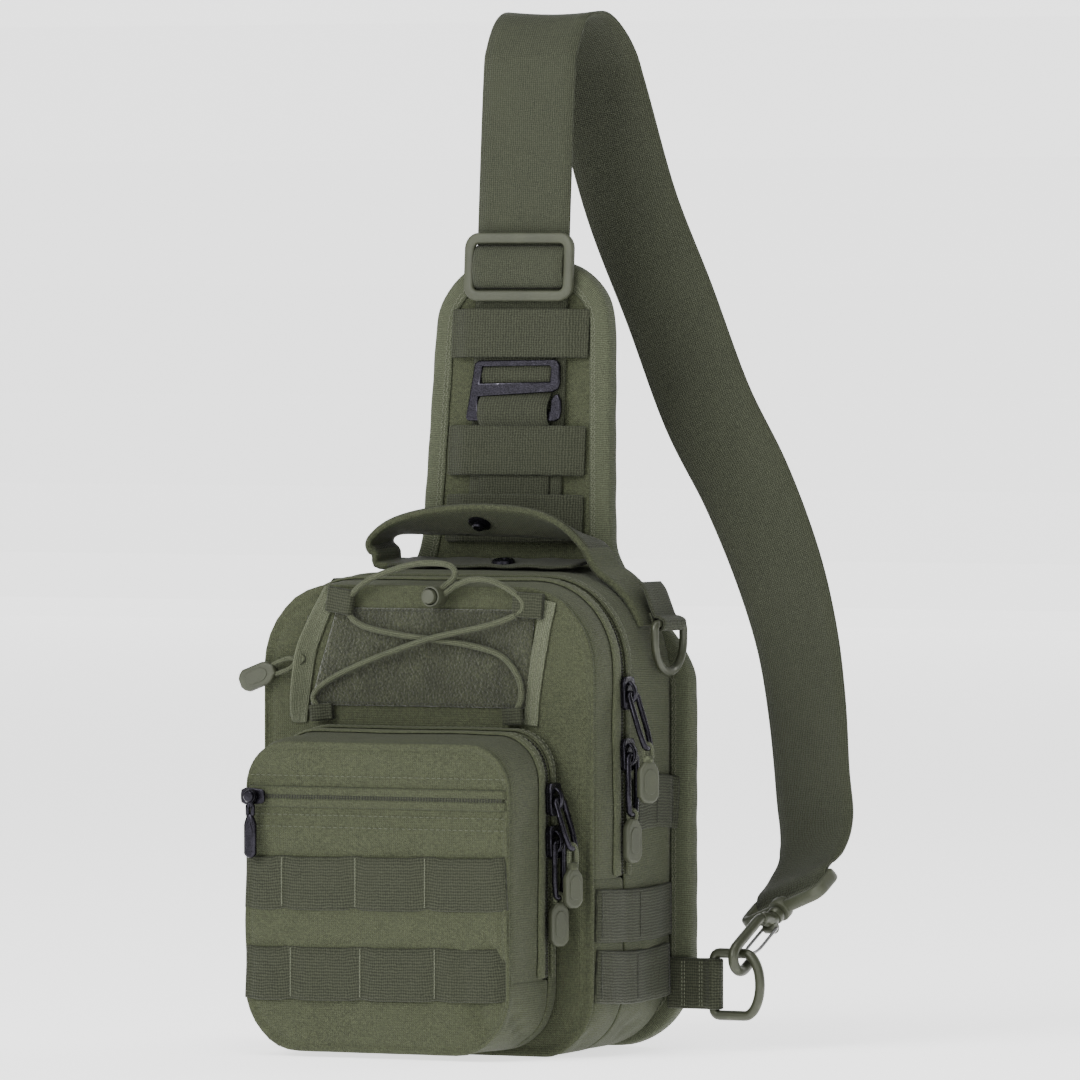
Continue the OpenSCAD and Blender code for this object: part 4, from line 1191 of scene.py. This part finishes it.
instead_of(yoke_band("yoke_band_low", 240, 263), "yoke_bands")
yoke_band("yoke_band_middle", 272, 296)
yoke_band("yoke_band_high", 328.5, 352)

# The webbing behind the utility hook: height, and distance from the yoke
HOOK_WEB = [(241, 3.1), (262, 3.1), (280, 3.2), (291, 3.4), (295.5, 4.6), (298, 6.6),
            (301, 7.6), (305, 7.4), (308, 6.0), (311, 3.6), (314.5, 3.0), (317.5, 4.0),
            (320.5, 4.6), (323.5, 4.0), (327, 3.2), (336, 3.0), (349, 3.0)]
hook_web = strap("g_hook_webbing", smooth_curve([on_yoke(0, out, z) for z, out in HOOK_WEB], 4),
                 38.0, 1.2, WEBBING, "bag", (1, 0, 0))
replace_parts(hook_web, "g_hook_webbing")

ADJUSTER_Z, ADJUSTER_W, ADJUSTER_H = 355.5, 59.0, 33.0


def tri_glide():
    """The slide buckle: a rounded frame and a middle bar."""
    bar_z = ADJUSTER_Z + ADJUSTER_H / 2
    outline = rounded(ADJUSTER_W / 2 - 2.6, 2.6, ADJUSTER_H - 2.6, 5, 5, 6)
    section = [(b, a) for a, b in ellipse(1.9, 2.6, 14, 0.6)]
    frame_bar = sweep("tri_glide_frame", [on_yoke(x, 5.0, ADJUSTER_Z + z) for x, z in outline],
                      section, PLASTIC, "adjuster", up=TO_BACK, closed=True)
    bar = sweep("tri_glide_bar", [on_yoke(x, 4.0, bar_z) for x in (-27, -14, 0, 14, 27)],
                [(a * 0.9, b * 0.45) for a, b in section], PLASTIC, "adjuster", up=TO_BACK)
    return join("tri_glide", [frame_bar, bar], "adjuster")


def strap_hump():
    """The strap where it turns over the buckle's bar."""
    bar_z = ADJUSTER_Z + ADJUSTER_H / 2
    path = [on_yoke(0, 2.6 + 4.6 * sin(pi * k / 20), bar_z - 9.6 * cos(pi * k / 20))
            for k in range(21)]
    return strap("strap_hump", path, 49.0, 1.6, STRAP, "adjuster", (1, 0, 0))


instead_of(tri_glide(), "tri_glide")
instead_of(strap_hump(), "strap_hump")


# ------------------------------------------------------------------ rings, tails and hook

def half_turn(cx, cz, rx, rz, start, n=28):
    """Points of half an ellipse from an angle in degrees."""
    return [(cx + rx * cos(radians(start + 180 * k / n)), cz + rz * sin(radians(start + 180 * k / n)))
            for k in range(n + 1)]


def lower_ring(side, tag):
    z0, z1, x, r = 16.7, 46.3, 108.6, 3.0
    pts = arc(x + r, z1 - r, r, 90, 4, True) + arc(x + r, z0 + r, r, 180, 4, True)
    pts += half_turn(125, (z0 + z1) / 2, 8, (z1 - z0) / 2, -90)
    path = [Vector((side * a, 41, b)) for a, b in pts]
    ring = tube(f"lower_ring_{tag}", path, 2.4, PAINTED, f"ring_lower_{tag}", closed=True, sides=16)
    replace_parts(ring, f"lower_ring_{tag}")


def upper_ring(side, tag):
    z1, y, h, r = 203.0, 24.5, 14.6, 3.0
    pts = arc(y + h - r, z1 - r, r, 0, 4, True) + arc(y - h + r, z1 - r, r, 90, 4, True)
    pts += half_turn(y, z1 - 8, h, 15, 180)
    path = [Vector((side * 93, a, b)) for a, b in pts]
    ring = tube(f"upper_ring_{tag}", path, 2.0, PAINTED, f"ring_upper_{tag}", up=(1, 0, 0),
                closed=True, sides=16)
    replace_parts(ring, f"upper_ring_{tag}")


def tail(side, tag):
    """The tail of webbing that holds the lower ring: out, round the bar and back, sewn flat."""
    z = 31.5
    pts = [(84.5, 40.2), (89.6, 40.0), (96, 40.2), (103, 40.0), (106.6, 38.6), (109, 37.3),
           (111.4, 38.6), (112.3, 41), (111.2, 43.6), (108.6, 44.8), (105.4, 43.9), (101.5, 42.3),
           (96, 42.0), (90.5, 42.2)]
    path = smooth_curve([(side * a, b, z) for a, b in pts], 4)
    web = strap(f"tail_{tag}", path, 24.2, 1.5, WEBBING, "bag", (0, 0, 1))
    lines = [([Vector((side * x, 39.2, z + dz)) for dz in (-11, 0, 11)], TO_FRONT)
             for x in (92.2, 93.6, 101.6, 103.0)]
    sewn = stitches(f"tail_stitches_{tag}", lines, THREAD, "bag", pitch=1.7, length=1.4, r=0.28)
    return join(f"tail_webbing_{tag}", [web, sewn], "bag")


def ring_tab(side, tag):
    """The webbing that holds the upper ring, folded round its bar."""
    pts = [(82.5, 222.3), (85.5, 218.5), (88.6, 211), (90.6, 206.6), (93, 205.9), (95.6, 204.6),
           (96, 202.6), (94.8, 200.6), (92.6, 200.2), (90.6, 201.4), (89.4, 205), (88.2, 208)]
    path = smooth_curve([(side * a, 24.5, b) for a, b in pts], 4)
    return strap(f"ring_tab_{tag}", path, 22.5, 1.3, WEBBING, "bag", (0, 1, 0))


for side, tag in ((1, "right"), (-1, "left")):
    lower_ring(side, tag)
    upper_ring(side, tag)
    tail_piece, tab_piece = tail(side, tag), ring_tab(side, tag)
    if side == 1:
        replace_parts(tail_piece, "tail_webbing")
        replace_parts(tab_piece, "upper_ring_tabs")

# The hook's own frame: its nose is at the foot, its stem points up Z, and its bar lies in Y and Z
HOOK = shift(124.5, 41, 46.3) @ turn(-6.5, "Z") @ turn(-58, "X") @ shift(0, 0, -12)


def axis_of(place, axis):
    """One of a placement's axes as a direction."""
    return place.to_3x3() @ Vector([float(axis == name) for name in "XYZ"])


def snap_hook():
    """A cast hook of round bar: shaft, nose and tip, with a swivelling stem and head."""
    mid = 6.5
    up = axis_of(HOOK, "X")
    bend = [(-mid, 31), (-mid, 24), (-mid, 16)] + [(-y, z) for y, z in half_turn(0, 8.8, mid, -mid, 0, 14)]
    bend = [(-4.6, 35.5)] + bend + [(mid, 12.5), (mid + 0.1, 16.2), (mid - 0.2, 17.8)]
    bar = tube("hook_bar", smooth_curve([HOOK @ Vector((0, y, z)) for y, z in bend], 2), 2.55,
               PAINTED, "hook", up, sides=16)
    neck_line = [(-5.4, 33), (-3.6, 36), (-0.6, 38.6), (0, 41.5), (0, 44)]
    neck = tube("hook_neck", smooth_curve([HOOK @ Vector((0, y, z)) for y, z in neck_line], 5), 3.3,
                PAINTED, "hook", up, sides=16)
    stem = turned("hook_stem", [(0.2, 42), (3.8, 42.2), (4.2, 43.2), (4.2, 45), (3.1, 46),
                                (2.95, 48), (2.95, 52), (4.4, 52.2), (4.7, 53), (4.2, 54.2),
                                (2.6, 54.9), (0.2, 55.1)], HOOK, PAINTED, "hook")
    boss = turned("hook_boss", [(0.1, -3.4), (2.4, -3.3), (2.9, -2.6), (2.9, 2.6), (2.4, 3.3),
                                (0.1, 3.4)], HOOK @ shift(0, 2.6, 37.5) @ turn(90, "Y"), PAINTED,
                  "hook")
    return join("snap_hook", [bar, neck, stem, boss], "hook")


def hook_gate():
    """The sprung wire that closes the hook's mouth."""
    half = 3.6
    down = [(-half, 37.5), (-half, 30), (-half, 21), (-half + 0.8, 17.6), (-half + 2, 16.4)]
    path = [HOOK @ Vector((x, 2.6, z)) for x, z in down + [(-x, z) for x, z in down[::-1]]]
    return tube("hook_gate", smooth_curve(path, 4), 0.8, STEEL, "gate", axis_of(HOOK, "Y"))


def end_loop():
    """The rectangular loop that the strap's end turns round."""
    place = HOOK @ turn(-22.8, "Z")
    path = [place @ Vector((x, 0, z)) for x, z in rounded(26.7, 49.8, 66.0, 3.5, 4.5, 5)]
    loop = sweep("strap_end_loop", path, ellipse(2.15, 3.1, 14, 0.7), PLASTIC, "bag",
                 up=axis_of(place, "Y"), closed=True)
    boss = turned("strap_end_boss", [(3.3, 46.9), (5.2, 47.0), (5.6, 47.8), (5.6, 51.4), (5.2, 52.0),
                                     (3.3, 52.1)], HOOK, PLASTIC, "bag")
    return join("strap_end_loop", [loop, boss], "bag")


instead_of(snap_hook(), "snap_hook")
instead_of(hook_gate(), "hook_gate")
instead_of(end_loop(), "strap_end_loop")

# ------------------------------------------------------------------ utility hook on the yoke

# A flat pressed hook with a slot: X, and height on the yoke
G_OUTLINE = [(-26.0, 299.2), (-24.6, 298.0), (22.6, 298.0), (24.6, 299.4), (25.6, 303.5),
             (25.2, 308.0), (23.6, 311.0), (21.6, 310.6), (20.0, 308.2), (19.6, 303.2),
             (-19.6, 303.2), (-19.8, 309.6), (20.8, 312.0), (23.4, 313.4), (24.4, 316.4),
             (24.0, 325.0), (22.6, 327.0), (20.6, 327.6), (-20.0, 327.0), (-22.0, 325.6)]
G_SLOT = [(-18.8, 316.0), (19.0, 317.0), (19.4, 323.8), (18.6, 324.6), (-18.0, 324.0)]

g_outline, g_slot = ([(x, z - LEAN_Z) for x, z in pts] for pts in (G_OUTLINE, G_SLOT))
g_place = Matrix.Translation(on_yoke(0, 5.0, LEAN_Z)) @ Matrix.Rotation(-LEAN, 4, "X") @ turn(90, "X")
g_piece = plate("g_hook", g_outline, -1.1, 1.1, BLACK, "g_hook", g_place, bevel=0.7, holes=[g_slot])
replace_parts(g_piece, "g_hook")


# ------------------------------------------------------------------ carry handle

def carry_handle():
    """The handle's arch, with its front edge lifted in the middle so that its underside shows."""
    route = [(-57, 234.5), (-61, 239.5), (-57.5, 244.5), (-44, 248.4), (-20, 250.8), (5, 251),
             (28, 249.2), (44, 245), (55, 238.6), (60, 232.5)]
    lift = (0.1, 0.1, 0, -0.3, -0.6, -0.7, -0.6, -0.3, 0, 0.1)
    foot_left = [(-50, 229.8), (-56.5, 230.6)]
    foot_right = [(62, 229), (70, 223.4), (77.5, 216.6), (83, 208.6), (86, 202)]
    arch = smooth_curve([(x, HANDLE_Y, z) for x, z in route], 6)
    sides = smooth_curve([(0, 1, k) for k in lift], 6)
    path = smooth_curve([(x, HANDLE_Y, z) for x, z in foot_left] + arch[1::3][:-1]
                        + [(x, HANDLE_Y, z) for x, z in foot_right], 3)
    across = [sides[nearest(arch, p)] for p in path]
    cloth = sweep("handle_arch", path, [(a * 0.94, b) for a, b in strap_section(26, 3.0)], CLOTH,
                  None, side=across)
    raised = [p + Vector((0, 0, 1.9 if p.z > 236 else 0.4)) for p in path[4:-4]]
    web = strap("handle_webbing", raised, 21, 1.3, WEBBING, None, across[4:-4])
    return join("carry_handle", [cloth, web], "handle")


handle = instead_of(carry_handle(), "carry_handle")

# The anchor strip lies on the sloping top wall, with the press fastener's socket on it
top_z = body_top(HANDLE_Y)
top_slope = atan(BODY_RISE / (BACK_Y - FRONT_Y))
anchor_path = [Vector((-50 + 100 * k / 30, HANDLE_Y, top_z + 1.4 + 0.3 * sin(k * 0.9)))
               for k in range(31)]
instead_of(strap("handle_anchor", anchor_path, 26, 1.5, WEBBING, "bag", (0, 1, tan(top_slope))),
           "handle_anchor")
socket_place = (shift(0, HANDLE_Y, top_z) @ Matrix.Rotation(top_slope, 4, "X")
                @ shift(8.5, -4, 2.4))
instead_of(turned("snap_socket", [(0.1, 0.4), (2.0, 0.4), (2.6, 1.4), (3.4, 1.9), (4.6, 1.7),
                                  (5.5, 1.0), (5.7, -0.3)], socket_place, BLACK, "bag"),
           "snap_socket")
instead_of(turned("snap_stud", [(0.1, -5.2), (2.4, -5.1), (3.0, -4.4), (2.7, -3.4), (4.8, -3.1),
                                (5.6, -2.6), (5.6, -1.9), (0.1, -1.8)],
                  shift(-6, HANDLE_Y, 251.3) @ turn(-33, "X"), BLACK, "handle"), "snap_stud")

# ------------------------------------------------------------------ shock cord lacing

LOCK = Vector((8.4, -50.9, 216.5))
STRANDS = {
    "left": [(16.6, -50.9, 224.0), (18.5, -51, 228), (14, -51, 231.5), (0, -51, 232),
             (-14, -51, 229), (-30, -50.5, 223), (-40, -49.5, 214), (-40, -49, 208),
             (-32, -49.5, 202), (-12, -50, 198), (6, -50, 196), (26, -50, 193.5),
             (42, -50, 189), (51, -50, 180), (53, -49.5, 170), (49, -48.5, 161)],
    "right": [(18.3, -50.9, 221.6), (27, -51, 224.5), (38, -51, 224), (49, -50.5, 219),
              (54, -49.5, 213), (50, -50, 208), (36, -51.5, 203), (20, -53, 199.5),
              (6, -53.2, 196.5), (-12, -52.2, 191), (-32, -51, 184), (-50, -50, 176),
              (-59, -49, 168.5), (-56, -48.5, 161.5)]}


def lacing():
    """Two strands that run side by side through the lock, with their short cut ends."""
    angle = radians(35)
    along, across = Vector((cos(angle), 0, sin(angle))), Vector((-sin(angle), 0, cos(angle)))
    strands = []
    for (tag, route), beside in zip(STRANDS.items(), (1.5, -1.5)):
        start = LOCK + beside * across
        lead = [start + along * k for k in (-2, 0, 3, 6, 9)]
        strands.append(tube(f"lacing_{tag}", lead + smooth_curve(route, 8), 1.5, CORD, "lid"))
        end = start - along * 3
        strands.append(tube(f"lacing_end_{tag}", [end + along * 2, end, end - along * 2
                                                  + Vector((0, -0.4, -1))], 1.25, CORD, "lid"))
    return join("lacing_cord", strands, "lid")


def cord_loops():
    """Four folded webbing loops. Each is placed by its bight, with a direction and a tilt."""
    loops = []
    for k, (x, z, inward, tilt) in enumerate(((-40, 213, -1, 8), (51.5, 213, 1, -4),
                                              (-57.5, 160.5, 1, 6), (50.5, 160.5, -1, -4))):
        a = radians(tilt)
        along = Vector((inward * cos(a), 0, sin(a)))
        reach, w = (12, 12.0) if k < 2 else (8, 8.0)
        bight = [(reach, 0.4), (reach * 0.65, 0.2), (3, -0.2), (-1.2, -0.8), (-2.6, -2.2),
                 (-1.4, -3.9), (2.4, -3.2), (reach * 0.65, -1.8), (reach, -1.2)]
        path = smooth_curve([Vector((x, -47.0 + dy, z)) + along * s for s, dy in bight], 4)
        loops.append(strap(f"cord_loop_{k}", path, w, 1.0, WEBBING, "lid",
                           (-sin(a) * inward, 0, cos(a))))
    return join("cord_loops", loops, "lid")


instead_of(lacing(), "lacing_cord")
instead_of(cord_loops(), "cord_loops")
lock_place = Matrix.Translation(LOCK) @ turn(90, "X")
instead_of(turned("cord_lock_barrel", [(0.1, -3.2), (4.3, -3.2), (4.9, -2.6), (5.0, 0), (5.0, 5.6),
                                       (4.7, 6.3), (4.1, 6.5), (3.85, 6.0), (3.8, 1.1), (0.1, 1.0)],
                  lock_place, PLASTIC, "cord_lock"), "cord_lock_barrel")
instead_of(turned("cord_lock_button", [(3.45, 4.1), (3.5, 8.0), (3.2, 8.6), (2.4, 8.9), (0.1, 8.7)],
                  lock_place, PLASTIC, "lock_button"), "cord_lock_button")


# ------------------------------------------------------------------ zip sliders and pulls

# A slider's and a pull's own frame: X points out of the cloth and the pull hangs down Z
FLAT_ON = turn(90, "Z") @ turn(90, "X")


def slider(name, place, body, post=False):
    """A zip slider: a shaped plate with a raised bridge or post."""
    right = [(1.4, 8.0), (4.2, 7.6), (5.6, 5.0), (5.4, 0), (4.6, -6.6), (3.2, -7.8)]
    outline = [(-5.6, 5.0), (-4.2, 7.6), (-1.4, 8.0)] + right + [(-3.2, -7.8), (-4.6, -6.6),
                                                                (-5.4, 0)]
    if post:
        outline = [(x * 0.72, z * 0.8) for x, z in outline]
    top = plate(name + "_top", outline, 1.8, 3.0 if post else 4.0, BLACK, body, place @ FLAT_ON, 0.5)
    under = plate(name + "_under", [(x * 0.82, z * 0.9) for x, z in outline], 0.1, 1.8, BLACK,
                  body, place @ FLAT_ON)
    if post:
        handle_part = turned(name + "_post", [(1.4, 2.6), (1.4, 6.5), (2.3, 6.7), (2.5, 7.2),
                                              (2.1, 7.6), (0.1, 7.7)], place @ turn(90, "Y"), BLACK,
                             body)
    else:
        arch = [(2.8, 5.4), (4.4, 4.9), (5.9, 3.6), (6.7, 1.6), (6.8, -0.6), (6.4, -2.4),
                (5.0, -4.2), (2.8, -5.2)]
        handle_part = sweep(name + "_bridge", smooth_curve([place @ Vector((x, 0, z))
                                                            for x, z in arch], 4),
                            ellipse(1.9, 0.9, 10), BLACK, body, side=axis_of(place, "Y"))
    instead_of(join(name, [top, under, handle_part], body), name)


def tab(name, place, w, length, t, material, body):
    """A moulded pull tab that hangs down Z from its top, with bevelled edges and a grip."""
    half, cut = w / 2, min(3.4, 0.32 * w)
    right = [(half - cut, 0), (half - 0.5, -3.6), (half, -5.4), (half, -length + cut),
             (half - 0.4 * cut, -length + 0.4 * cut), (half - cut, -length)]
    outline = [(cut - half, 0)] + right + [(-x, z) for x, z in right[:0:-1]]
    core = plate(name, outline, -t / 2, t / 2, material, body, place @ FLAT_ON, 1.2)
    small = [(x * 0.58, -length / 2 + (z + length / 2) * 0.6) for x, z in outline]
    grip = plate(name + "_grip", small, -t / 2 - 0.35, t / 2 + 0.35, material, body,
                 place @ FLAT_ON, 0.3)
    return [core, grip]


def pull(name, place, lean, wire_l, cord_l, tab_l, tab_w, twist, body):
    """A zip pull: a bent wire loop on the slider, a short cord and a moulded tab."""
    a = radians(lean)
    down = Vector((sin(a), 0, -cos(a)))
    half, foot = 4.2, 2.4
    side = [(0, half - 1.2), (1.4, half), (wire_l * 0.7, half), (wire_l - 1, foot + 0.7),
            (wire_l, foot - 0.6)]
    ring = [(0, 1.2 - half)] + side + [(s, -y) for s, y in side[:0:-1]]
    at = place @ shift(LUG, 0, 0)
    wire = tube(name + "_wire", [at @ (down * s + Vector((0, y, 0))) for s, y in ring], 1.4, BLACK,
                body, at.to_3x3() @ Vector((cos(a), 0, sin(a))), closed=True)
    end = down * wire_l
    loop = [end + Vector((1.25 * sin(t), 1.5 * sin(t), 2.0 - (cord_l + 3.5) * (1 - cos(t)) / 2))
            for t in (2 * pi * k / 25 for k in range(25))]
    parts = [wire, tube(name + "_cord", [at @ p for p in loop], 1.15, CORD, body,
                        at.to_3x3() @ Vector((1, 0.3, 0)), closed=True)]
    if cord_l > 4:
        parts.append(turned(name + "_ferrule", [(0.1, 1.3), (2.3, 1.2), (2.7, 0.4), (2.7, -1.4),
                                                (2.3, -2.0), (0.1, -2.1)],
                            at @ Matrix.Translation(end + Vector((0, 0, 1.2 - cord_l))), CORD, body))
    hang = at @ Matrix.Translation(end + Vector((0, 0, -cord_l))) @ turn(-twist, "Z")
    parts += tab(name + "_tab", hang, tab_w, tab_l, 3.8, PLASTIC, body)
    instead_of(join(name, parts, body), name)


def post_pull(name, place, cord_l, tab_l, tab_w, tab_t, material, cord_material, body, spread, mid):
    """A pull that turns on a post: an eye, two cords and a moulded tab."""
    parts = [turned(name + "_eye", [(1.8, -1.2), (2.8, -1.3), (3.2, -0.8), (3.2, 0.8), (2.8, 1.3),
                                    (1.8, 1.2)], place @ shift(mid, 0, 0) @ turn(90, "Y"),
                    cord_material, body)]
    for s in (-1, 1):
        pts = [(s * 0.5, -2.4), (s * spread * 0.8, -5), (s * spread, -cord_l * 0.6),
               (s * spread * 0.9, -cord_l - 1)]
        path = smooth_curve([place @ Vector((mid, y, z)) for y, z in pts], 5)
        parts.append(tube(f"{name}_cord_{s}", path, 1.1, cord_material, body, axis_of(place, "X")))
    parts += tab(name + "_tab", place @ shift(mid, 0, -cord_l), tab_w, tab_l, tab_t, material, body)
    instead_of(join(name, parts, body), name)


# Each row: which one, height, lean, wire, cord and tab lengths, tab width, twist
PULLS = {("main", BODY_W / 2 + 0.3, ZIP_Y): (("upper", 171, 18, 27, 6, 20, 11, 28),
                                             ("lower", 142, 0, 28, 2, 21, 11, 12)),
         ("pocket", POCKET_W / 2 + 0.3, POCKET_ZIP_Y): (("upper", 122, 18, 24, 9, 19, 10, 24),
                                                        ("lower", 102, 0, 26, 2, 21, 10, 30))}
for (where, x, y), rows in PULLS.items():
    for tag, z, *sizes in rows:
        slider(f"{where}_slider_{tag}", shift(x, y, z), f"{where}_slider_{tag}")
        pull(f"{where}_pull_{tag}", shift(x, y, z), *sizes, f"{where}_pull_{tag}")

flat_at = shift(-64, POCKET_FRONT_Y - PANEL_T - 1.1, FLAT_ZIP_Z) @ turn(-90, "Z")
slider("flat_zip_slider", flat_at @ turn(90, "X"), "flat_slider", post=True)
post_pull("flat_zip_pull", flat_at, 8, 21, 6.4, 2.8, BLACK, BLACK, "flat_pull", 1.4, 4.9)
left_at = shift(-66.5, POCKET_BACK_Y - 1.3, 186) @ turn(-90, "Z")
slider("left_zip_slider", left_at @ turn(-12, "X") @ Matrix.Diagonal((0.45, 0.8, 0.85, 1)),
       "left_slider", post=True)
post_pull("left_zip_pull", left_at @ turn(-69, "X"), 14, 20, 11, 4.4, PLASTIC, CORD, "left_pull",
          2.6, 2.4)


def left_zip():
    """The slanting zip's tape and coil, under the left strip's edge."""
    a, b = (-72.4, 158), (-62.3, 206)
    tape = strap("left_zip_cloth", body_front.between(a, b, 0.4, 24), 4.4, 0.8, ZIP_TAPE, "lid",
                 (b[1] - a[1], 0, a[0] - b[0]))
    coil = zip_teeth("left_zip_coil", body_front.between(a, b, 1.0, 24), [Vector(TO_FRONT)] * 25,
                     "lid", width=2.2)
    return join("left_zip_tape", [tape, coil], "lid")


instead_of(left_zip(), "left_zip_tape")

# ------------------------------------------------------------------ inside

sleeve_rows = []
for z in (6 + 144 * i / 16 for i in range(17)):
    sag = 3.5 * min(1.0, (z - 6) / 20)
    sleeve_rows.append([(-70 + 7 * k, 40.2 - (1 - abs(k - 10) / 10) ** 0.5 * sag
                         - rumple((k * 7, 0, z), 40, 0.8, 6.0), z) for k in range(21)])
instead_of(grid("inner_sleeve", sleeve_rows, LINING, "bag"), "inner_sleeve")

# ------------------------------------------------------------------ cloth between bodies, left on no body with its place baked in

bending = [lower_wall] + [side_rows[tag, label] for tag in ("right", "left")
                          for label in ("middle", "foot")]
for piece in bending:
    piece.parent = None
    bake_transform(piece)
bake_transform(pocket_low)
hook_web.parent = None
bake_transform(hook_web)
handle.parent = None
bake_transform(handle)


# ------------------------------------------------------------------ floor, light and camera, in metres

def floor_material():
    n = Nodes("floor")
    n.put(n.shader.inputs["Emission Color"], (1.0, 1.0, 1.0))
    n.put(n.shader.inputs["Emission Strength"], 1.5)
    return n.finish((0.93, 0.93, 0.93), 0.9, specular=0.1)


def studio_floor(size=7.5, curve_r=1.0, wall_y=7.5, wall_h=7.0):
    """A floor that curves up into a wall beyond every camera place."""
    profile = [(-size, 0.0), (wall_y - curve_r, 0.0)]
    profile += [(wall_y - curve_r + curve_r * sin(radians(a)), curve_r - curve_r * cos(radians(a)))
                for a in range(10, 91, 10)]
    profile += [(wall_y, wall_h)]
    mesh = bpy.data.meshes.new("floor")
    mesh.from_pydata([(x, y, z) for y, z in profile for x in (-size, size)], [],
                     [(2 * i, 2 * i + 1, 2 * i + 3, 2 * i + 2) for i in range(len(profile) - 1)])
    mesh.materials.append(floor_material())
    link("floor", mesh)


def aimed(name, data, place, away):
    """A lamp or camera at a place, looking along its minus Z. away points back from the aim."""
    obj = link(name, data)
    obj.location = place
    obj.rotation_mode = "QUATERNION"
    obj.rotation_quaternion = Vector(away).to_track_quat("Z", "Y")
    return obj


def area_light(name, place, size, power, target=(0, 0, 0.22)):
    data = bpy.data.lights.new(name, "AREA")
    data.shape = "SQUARE"
    data.size = size
    data.energy = power
    aimed(name, data, place, Vector(place) - Vector(target))


studio_floor()
AZ, EL, DISTANCE = radians(28), radians(1.2), 6.0
LENS = 420   # in millimetres: 0.514 m fills the picture at that distance
right = Vector((cos(AZ), sin(AZ), 0))
back = Vector((sin(AZ) * cos(EL), -cos(AZ) * cos(EL), sin(EL)))
aim = (right * 32.4 + back.cross(right) * 242) * MM
camera_data = bpy.data.cameras.new("camera")
camera_data.sensor_width = 36
camera_data.lens = LENS
bpy.context.scene.camera = aimed("camera", camera_data, aim + back * DISTANCE, back)

area_light("key", (-0.75, -2.7, 1.7), 2.0, 108)
area_light("fill", (2.0, -2.2, 0.9), 1.8, 20)
area_light("top", (0.1, -0.6, 2.6), 1.6, 30)
area_light("rim", (0.9, 2.0, 1.4), 1.4, 12)

world = bpy.data.worlds.new("studio")
world.use_nodes = True
world.node_tree.nodes["Background"].inputs[0].default_value = (1, 1, 1, 1)
world.node_tree.nodes["Background"].inputs[1].default_value = 0.32
bpy.context.scene.world = world
